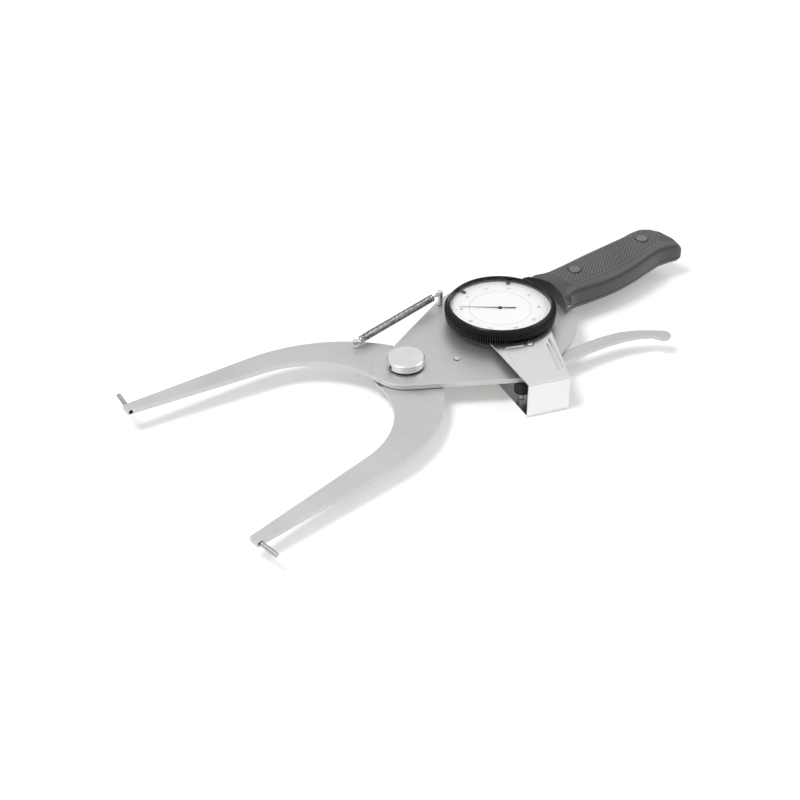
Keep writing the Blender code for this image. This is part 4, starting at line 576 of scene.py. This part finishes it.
def bezel():
    """Bezel with its knurl, the crystal and the dial with its graduations."""
    axis = at(DIAL_REACH, 0)
    profile = rounded_profile((
        (27.6, 4.2), (29.2, 4.2, 0.2), (29.4, 4.6, 0.1), (29.7, 8.4, 0.1), (29.7, 9.2, 0.35),
        (28.0, 11.05, 0.1), (27.3, 11.8, 0.25), (26.7, 11.8, 0.2), (26.7, 8.6, 0.1), (27.6, 8.6)), 3)
    ring = turned("bezel", profile, axis, 720, knurl)
    add_piece("bezel", ring, black_enamel, "bezel", ("bezel_ring",), sharp=60)
    softened("crystal", 0.15 * MM, crystal_glass, "bezel")
    face = turned("dial", rounded_profile((
        (1.2, 7.8), (27.3, 7.8), (27.3, DIAL_TOP, 0.1), (1.2, DIAL_TOP, 0.1))), axis, 128)
    add_piece("dial", face, dial_enamel, "bezel", ("dial_face",))
    marks = grow("dial marks", dial_mark_tree(), {
        "Count": 100, "Radius": 25.6 * MM, "Middle": at(DIAL_REACH, 0, DIAL_TOP + 0.01),
        "Length": 1.4 * MM, "Width": 0.12 * MM, "Thickness": 0.03 * MM, "Fifth": 1.4, "Tenth": 1.8,
        "Finish": dial_ink})
    over = DIAL_TOP + 0.02
    inner = turned("inner line", ((16.4, DIAL_TOP), (16.54, DIAL_TOP), (16.54, over), (16.4, over)),
                   axis, 128)
    add_piece("dial_marks", joined("dial marks", (marks, inner)), dial_ink, "bezel")
    dial_numbers()


def dial_numbers():
    """Plain numbers in tens round the dial, each with its foot towards the hub."""
    meshes = []
    for tens in range(10):
        text = bpy.data.curves.new("number", "FONT")
        text.body = str(tens * 10)
        text.size = 2.5 * MM
        text.align_x = "CENTER"
        text.align_y = "CENTER"
        text.extrude = 0.012 * MM
        mesh = plain_mesh(linked("number", text))
        angle = 107.0 - 36.0 * tens
        place = Matrix.Translation(at(*on_dial(20.4, 0.0, angle), DIAL_TOP + 0.015))
        mesh.transform(place @ Matrix.Rotation(math.radians(angle - 90), 4, "Z"))
        meshes.append(mesh)
    add_piece("dial_numbers", joined("dial numbers", meshes), dial_ink, "bezel")


def needle():
    """A long fine needle with a stout tail and a turned hub."""
    pointing = 138.0
    stations = ((21.5, 0.04), (16.0, 0.09), (1.0, 0.26), (-3.0, 0.3), (-7.6, 0.42), (-8.3, 0.34),
                (-8.5, 0.14))
    outline = [on_dial(reach, half, pointing) for reach, half in stations]
    outline += [on_dial(reach, -half, pointing) for reach, half in reversed(stations)]
    blade = slab("blade", outline, 8.62, 8.8)
    hub = turned("hub", rounded_profile((
        (0.0, 8.6), (1.1, 8.6), (1.1, 8.9, 0.1), (0.8, 8.95, 0.1), (0.8, 9.08, 0.08), (0.0, 9.08))),
        at(DIAL_REACH, 0), 32)
    add_piece("needle_blade", joined("needle", (blade, hub)), black_oxide, "needle_and_arbor",
              ("needle",))


def limit_markers():
    """The two black markers under the crystal's rim, each with a blunt nose towards the hub."""
    foot = 26.3
    for number, body, angle, nose, half in (("1", "limit_marker_a", 102.0, 22.9, 1.0),
                                            ("2", "limit_marker_b", 38.0, 23.6, 1.15)):
        outline = [on_dial(reach, side, angle) for reach, side in (
            (foot, -half), (nose + half, -half), (nose + 0.3 * half, -0.7 * half), (nose, 0.0),
            (nose + 0.3 * half, 0.7 * half), (nose + half, half), (foot, half))]
        add_piece("limit_marker_" + number + "_bar", slab("marker", outline[::-1], 8.9, 9.25),
                  black_acetal, body, ("limit_marker_" + number,))


# Guard

def guard():
    """The bright bent guard with its pressed beads, its screw and the rubber stop."""
    softened("lever_guard", 0.1 * MM, polished_stainless, "frame", angle=12,
             segments=2)
    beads = []
    for points, radius, sunk in (
            (((44.7, -27.6), (52.2, -31.2)), 0.5, 0.1),
            (((66.4, -35.3), (54.0, -57.6)), 0.6, 0.12),
            (((62.7, -38.0), (51.2, -57.8)), 0.6, 0.12),
            (((43.0, -27.6), (35.0, -46.6)), 0.25, 0.08),
            (((43.0, -27.6), (44.7, -27.0)), 0.25, 0.08)):
        line = [at(x, y, GUARD_TOP - sunk) for x, y in points]
        beads.append(wire_mesh("bead", line, radius * MM))
    add_piece("guard_beads", joined("guard beads", beads), polished_stainless, "frame")
    axis = axis_of("guard_top_screw")
    low = rounded_profile(((0.0, -2.6), (0.95, -2.6), (0.95, GUARD_TOP), (1.55, GUARD_TOP),
                           (1.55, 5.95, 0.2), (0.0, 6.05)))
    add_piece("guard_top_screw_low", turned("guard screw", low, axis, 48), bright_nickel, "frame",
              ("guard_top_screw",))
    # Painted shade: a thin black ring on the flange round the screw head stands for the shadow at its
    # edge.
    rim = turned("guard screw rim", ((1.6, 5.55), (1.95, 5.55), (1.95, 5.66), (1.6, 5.66)), axis, 48)
    add_piece("guard_screw_rim", rim, black_oxide, "frame")
    high = height(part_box("lever_stop")[1].z)
    foot = high - 6.2
    block = turned("stop", rounded_profile(((2.1, foot), (4.2, foot, 0.5), (4.2, high, 0.5),
                                            (2.1, high))), axis_of("lever_stop"), 64)
    add_piece("lever_stop_block", block, nitrile_rubber, "frame", ("lever_stop",))
    softened("guard_post", 0.1 * MM, zinc_casting, "frame")


# Grip

def grip():
    """The two moulded shells, the ribbed panel in the upper one, plugs and screws."""
    upper = softened("grip_upper_shell", 0.8 * MM, moulded_nylon, "frame", angle=32,
                     segments=4)
    softened("grip_lower_shell", 0.6 * MM, moulded_nylon, "frame", angle=32, segments=4)
    for number in ("1", "2"):
        plug(number)
        softened("ledge_screw_" + number, 0.15 * MM, bright_nickel, "frame")
    ribbed_panel(upper)
    ledge_caps(upper)


def ledge_caps(shell):
    """The moulded covers over the two screw seats at the grip's foot; each follows the shell's slope."""
    surface = BVHTree.FromObject(shell, bpy.context.evaluated_depsgraph_get())
    for number in ("1", "2"):
        node = "ledge_screw_" + number
        place = middle(node)
        foot = height(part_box(node)[1].z) + 0.02
        cover = turned("cover", ((0.0, foot), (2.05, foot), (2.05, foot + 0.2), (0.0, foot + 0.2)),
                       axis_of(node), 40)
        raised = [v for v in cover.vertices if v.co.z > ORIGIN.z + (foot + 0.1) * MM]
        on_rim = [(corner.co.xy - place.xy).length > MM for corner in raised]
        levels = []
        for corner in raised:
            beside = place.xy + (corner.co.xy - place.xy) * 1.3
            hit = surface.ray_cast(Vector((*beside, 0.1)), Vector((0, 0, -1)))[0]
            levels.append(max(hit.z, corner.co.z) if hit else corner.co.z)
        rim = [level for level, outer in zip(levels, on_rim) if outer]
        for corner, level, outer in zip(raised, levels, on_rim):
            corner.co.z = (level if outer else sum(rim) / len(rim)) - 0.1 * MM
        add_piece("ledge_cover_" + number, cover, moulded_nylon, "frame")


def plug(number):
    """A plug with a raised rim and a slightly dished face."""
    node = "grip_plug_" + number
    under, top = (height(corner.z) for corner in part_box(node))
    profile = rounded_profile(((0.0, under), (3.35, under), (3.35, top, 0.2), (2.9, top, 0.15),
                               (2.6, top - 0.3, 0.3), (0.0, top - 0.42)))
    add_piece(node + "_dished", turned(node, profile, axis_of(node), 64), plug_nylon, "frame",
              (node,))


def half_width(along, far):
    """The grip's half width on one side, as a share of its length."""
    stations = ((0.0, 17.9, 19.9), (0.048, 16.8, 19.0), (0.099, 14.6, 15.8), (0.131, 12.9, 13.7),
                (0.171, 12.7, 12.3), (0.275, 14.6, 12.3), (0.378, 15.7, 12.7), (0.46, 16.1, 13.0),
                (0.554, 15.7, 13.2), (0.635, 15.0, 13.2), (0.717, 13.7, 13.2), (0.792, 12.6, 13.2),
                (0.862, 11.6, 13.9), (0.93, 12.6, 13.6), (0.976, 14.3, 11.2), (1.0, 14.0, 6.4))
    for (a, near_a, far_a), (b, near_b, far_b) in zip(stations, stations[1:]):
        if a <= along <= b:
            t = (along - a) / (b - a)
            return far_a + t * (far_b - far_a) if far else near_a + t * (near_b - near_a)
    return 0.0


def ribbed_panel(shell):
    """Slanting ribs cut across by finer ones, standing on the upper shell inside a plain margin."""
    surface = BVHTree.FromObject(shell, bpy.context.evaluated_depsgraph_get())
    start, end, step = 108.6, 185.6, 0.26
    rows = 84
    columns = int((end - start) / step)
    slant, cut_slant = math.radians(34.0), math.radians(-84.0)
    rib_pitch, cut_pitch = 1.45, 1.3
    plug_clearance, thickness = 4.0, 0.9
    # Height in millimetres and crest share of the margin, from the panel's edge inwards (the rest is
    # painted shade).
    margin = ((-0.4, 1.0), (0.12, 1.0), (0.16, 1.0), (-0.02, 0.0), (-0.02, 0.3))
    bm = bmesh.new()
    groove_shade = bm.verts.layers.float.new("groove_shade")
    top, under = [], []
    plugs = [(middle("grip_plug_" + n).x - ORIGIN.x) / MM for n in ("1", "2")]
    for i in range(columns + 1):
        x = start + (end - start) * i / columns
        along = (x - GRIP_START) / GRIP_LENGTH
        low, high = -0.70 * half_width(along, False), 0.72 * half_width(along, True)
        squeeze = min(1.0, (end - x) / 6.0 + 0.35, (x - start) / 3.0 + 0.8)
        over, below = [], []
        for k in range(rows + 1):
            share = k / rows
            y = low * squeeze + (high - low) * squeeze * share
            hit = surface.ray_cast(at(x, y, 30.0), Vector((0, 0, -1)))[0]
            level = height(hit.z) if hit else 9.0
            rib = (y * math.cos(slant) - x * math.sin(slant)) / rib_pitch
            cut = (y * math.cos(cut_slant) - x * math.sin(cut_slant)) / cut_pitch
            ridge = 1 - abs((rib % 1.0) * 2 - 1)
            notch = 1 - abs((cut % 1.0) * 2 - 1)
            crest = min(1.0, ridge * 1.6) * min(1.0, 0.1 + notch * 1.5)
            rise = 0.6 * crest - 0.1
            edge = min(k, rows - k, i, columns - i)
            if edge < len(margin):
                rise, crest = margin[edge]
            if any(math.hypot(x - place, y) < plug_clearance for place in plugs):
                rise, crest = -0.5, 1.0
            corner = bm.verts.new(at(x, y, level + rise))
            # Painted shade: the share that is not crest darkens the finish, deepest in the grooves.
            corner[groove_shade] = 1.0 - crest
            over.append(corner)
            below.append(bm.verts.new(at(x, y, level - thickness)))
        top.append(over)
        under.append(below)
    for i in range(columns):
        for k in range(rows):
            bm.faces.new((top[i][k], top[i + 1][k], top[i + 1][k + 1], top[i][k + 1]))
            bm.faces.new((under[i][k], under[i][k + 1], under[i + 1][k + 1], under[i + 1][k]))
    for i in range(columns):
        bm.faces.new((top[i][0], under[i][0], under[i + 1][0], top[i + 1][0]))
        bm.faces.new((top[i][rows], top[i + 1][rows], under[i + 1][rows], under[i][rows]))
    for k in range(rows):
        bm.faces.new((top[0][k], top[0][k + 1], under[0][k + 1], under[0][k]))
        bm.faces.new((top[columns][k], under[columns][k], under[columns][k + 1],
                      top[columns][k + 1]))
    mesh = bpy.data.meshes.new("ribbed panel")
    bm.to_mesh(mesh)
    bm.free()
    add_piece("grip_ribbed_panel", mesh, ribbed_nylon, "frame", sharp=80)


# Spring

def return_spring():
    """The long close-wound spring, with a hook at the far arm and a long loop at the apex post."""
    start = middle("arm_spring_post")
    start.z = ORIGIN.z + 2.95 * MM
    stop = middle("frame_spring_post")
    stop.z = ORIGIN.z + 6.85 * MM
    along = (stop - start).normalized()
    side = along.cross(Vector((0, 0, 1))).normalized()
    up = side.cross(along)
    turn = Matrix((-side, up, along)).transposed().to_4x4()
    wire_radius, coil_radius = 0.3 * MM, 1.8 * MM
    coils = []
    for curls, length, first in ((2.0, 3.0, 2.2), (60.0, 49.8, 5.2)):
        coil = grow("coil", coil_tree(), {
            "Curls": curls, "Coil radius": coil_radius, "Length": length * MM,
            "Wire radius": wire_radius, "Finish": music_wire})
        coil.transform(Matrix.Translation(start + along * first * MM) @ turn)
        coils.append(coil)
    level = Vector((along.x, along.y, 0)).normalized()
    across = Vector((-level.y, level.x, 0))
    hook = [start + along * 2.2 * MM + side * -1.6 * MM, start + along * 1.6 * MM + side * -1.5 * MM]
    for i in range(13):
        angle = math.radians(-90 + 200 * i / 12)
        hook.append(start - level * 1.3 * MM * math.cos(angle) + across * 1.3 * MM * math.sin(angle))
    far = [start + along * 49.5 * MM + up * 0.9 * MM, start + along * 54.0 * MM + up * 0.7 * MM,
           start + along * 57.6 * MM + up * 0.4 * MM + across * -1.2 * MM]
    for i in range(13):
        angle = math.radians(-80 + 200 * i / 12)
        far.append(stop + level * 1.45 * MM * math.cos(angle) + across * 1.45 * MM * math.sin(angle))
    back = [start + along * 49.5 * MM + up * -0.9 * MM, start + along * 56.0 * MM + up * -0.5 * MM,
            stop - level * 0.5 * MM + across * 1.5 * MM]
    meshes = coils + [wire_mesh("hook", hook, wire_radius), wire_mesh("loop", far, wire_radius),
                      wire_mesh("loop", back, wire_radius)]
    spring = add_piece("return_spring_coil", joined("return spring", meshes), music_wire, None,
                       ("return_spring",), sharp=80)
    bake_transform(spring)


# Floor, light and camera

def floor_finish():
    """White paper sweep: bright to the eye and in reflections, with the tool's soft shadow on it."""
    material = finish("white_paper_sweep", "#f4f4f4", "#f2f2f2", (0.8, 0.9), 3.0 * MM, 0.0, {})
    tree = material.node_tree
    ray = add_node(tree, "ShaderNodeLightPath", {}, {})
    seen = add_node(tree, "ShaderNodeMath", {"operation": "MAXIMUM"}, {
        0: ray.outputs["Is Camera Ray"], 1: ray.outputs["Is Glossy Ray"]})
    seen = add_node(tree, "ShaderNodeMath", {"operation": "MAXIMUM"}, {
        0: seen.outputs["Value"], 1: ray.outputs["Is Transmission Ray"]})
    lift = add_node(tree, "ShaderNodeMath", {"operation": "MULTIPLY"}, {
        0: seen.outputs["Value"], 1: FLOOR_LIFT})
    shader = tree.nodes["Principled BSDF"]
    shader.inputs["Emission Color"].default_value = (1, 1, 1, 1)
    tree.links.new(lift.outputs["Value"], shader.inputs["Emission Strength"])
    return material


def studio():
    """Floor, soft lamps and a pale room, whose walls darken towards the floor in reflections only."""
    mesh = bpy.data.meshes.new("floor")
    reach = 3.0
    corners = ((-reach, -reach), (reach, -reach), (reach, reach), (-reach, reach))
    mesh.from_pydata([(x, y, -0.02 * MM) for x, y in corners], [], [(0, 1, 2, 3)])
    mesh.materials.append(floor_finish())
    linked("floor", mesh)
    for name, place, size, watts in (("key_softbox", (-0.55, 0.14, 1.22), 0.45, 9.0),
                                     ("fill_softbox", (0.9, -0.5, 0.9), 0.9, 3.0)):
        lamp = bpy.data.lights.new(name, "AREA")
        lamp.shape = "SQUARE"
        lamp.size = size
        lamp.energy = watts
        holder = linked(name, lamp)
        holder.location = place
        holder.rotation_euler = (-Vector(place)).to_track_quat("-Z", "Y").to_euler()
    world = bpy.data.worlds.new("studio room")
    bpy.context.scene.world = world
    world.use_nodes = True
    tree = world.node_tree
    background = tree.nodes["Background"]
    ray = add_node(tree, "ShaderNodeLightPath", {}, {})
    place = add_node(tree, "ShaderNodeTexCoord", {}, {})
    parts = add_node(tree, "ShaderNodeSeparateXYZ", {}, {"Vector": place.outputs["Generated"]})
    walls = add_node(tree, "ShaderNodeValToRGB", {}, {"Fac": parts.outputs["Z"]})
    walls.color_ramp.elements[0].position = 0.03
    walls.color_ramp.elements[0].color = (0.10, 0.10, 0.10, 1)
    walls.color_ramp.elements[1].position = 0.6
    walls.color_ramp.elements[1].color = (1.0, 1.0, 1.0, 1)
    for position, grey in ((0.12, 0.16), (0.3, 0.86)):
        stop = walls.color_ramp.elements.new(position)
        stop.color = (grey, grey, grey, 1)
    shown = add_node(tree, "ShaderNodeMix", {"data_type": "RGBA"}, {
        0: ray.outputs["Is Glossy Ray"], 6: (1.0, 1.0, 1.0, 1.0), 7: walls.outputs["Color"]})
    tree.links.new(shown.outputs[2], background.inputs["Color"])
    direct = add_node(tree, "ShaderNodeMath", {"operation": "MAXIMUM"}, {
        0: ray.outputs["Is Camera Ray"], 1: ray.outputs["Is Glossy Ray"]})
    strength = add_node(tree, "ShaderNodeMapRange", {}, {
        "Value": direct.outputs["Value"], "To Min": 0.5, "To Max": 0.95})
    tree.links.new(strength.outputs["Result"], background.inputs["Strength"])


def camera():
    """The camera at the photograph's viewing angle."""
    yaw, pitch, roll = math.radians(38.008), math.radians(36.288), math.radians(-1.056)
    place = ORIGIN + Vector((-0.33406, -0.42199, 0.37319))
    forward = Vector((math.sin(yaw) * math.cos(pitch), math.cos(yaw) * math.cos(pitch),
                      -math.sin(pitch)))
    right = Vector((math.cos(yaw), -math.sin(yaw), 0))
    up = right.cross(forward)
    side = right * math.cos(roll) + up * math.sin(roll)
    top = up * math.cos(roll) - right * math.sin(roll)
    lens = bpy.data.cameras.new("camera")
    lens.sensor_width = 36
    lens.lens = FOCAL_PIXELS / PICTURE_WIDTH * lens.sensor_width
    lens.clip_start = 0.01
    holder = linked("camera", lens)
    turn = Matrix((side, top, -forward)).transposed().to_4x4()
    holder.matrix_world = Matrix.Translation(place) @ turn
    bpy.context.scene.camera = holder


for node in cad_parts.values():
    for slot in node.material_slots:
        slot.material = FINISHES[slot.material.name.split(".")[0]]

sheets_and_pivot()
bezel()
needle()
limit_markers()
guard()
grip()
return_spring()
studio()
camera()
bpy.context.scene.view_settings.view_transform = "Standard"
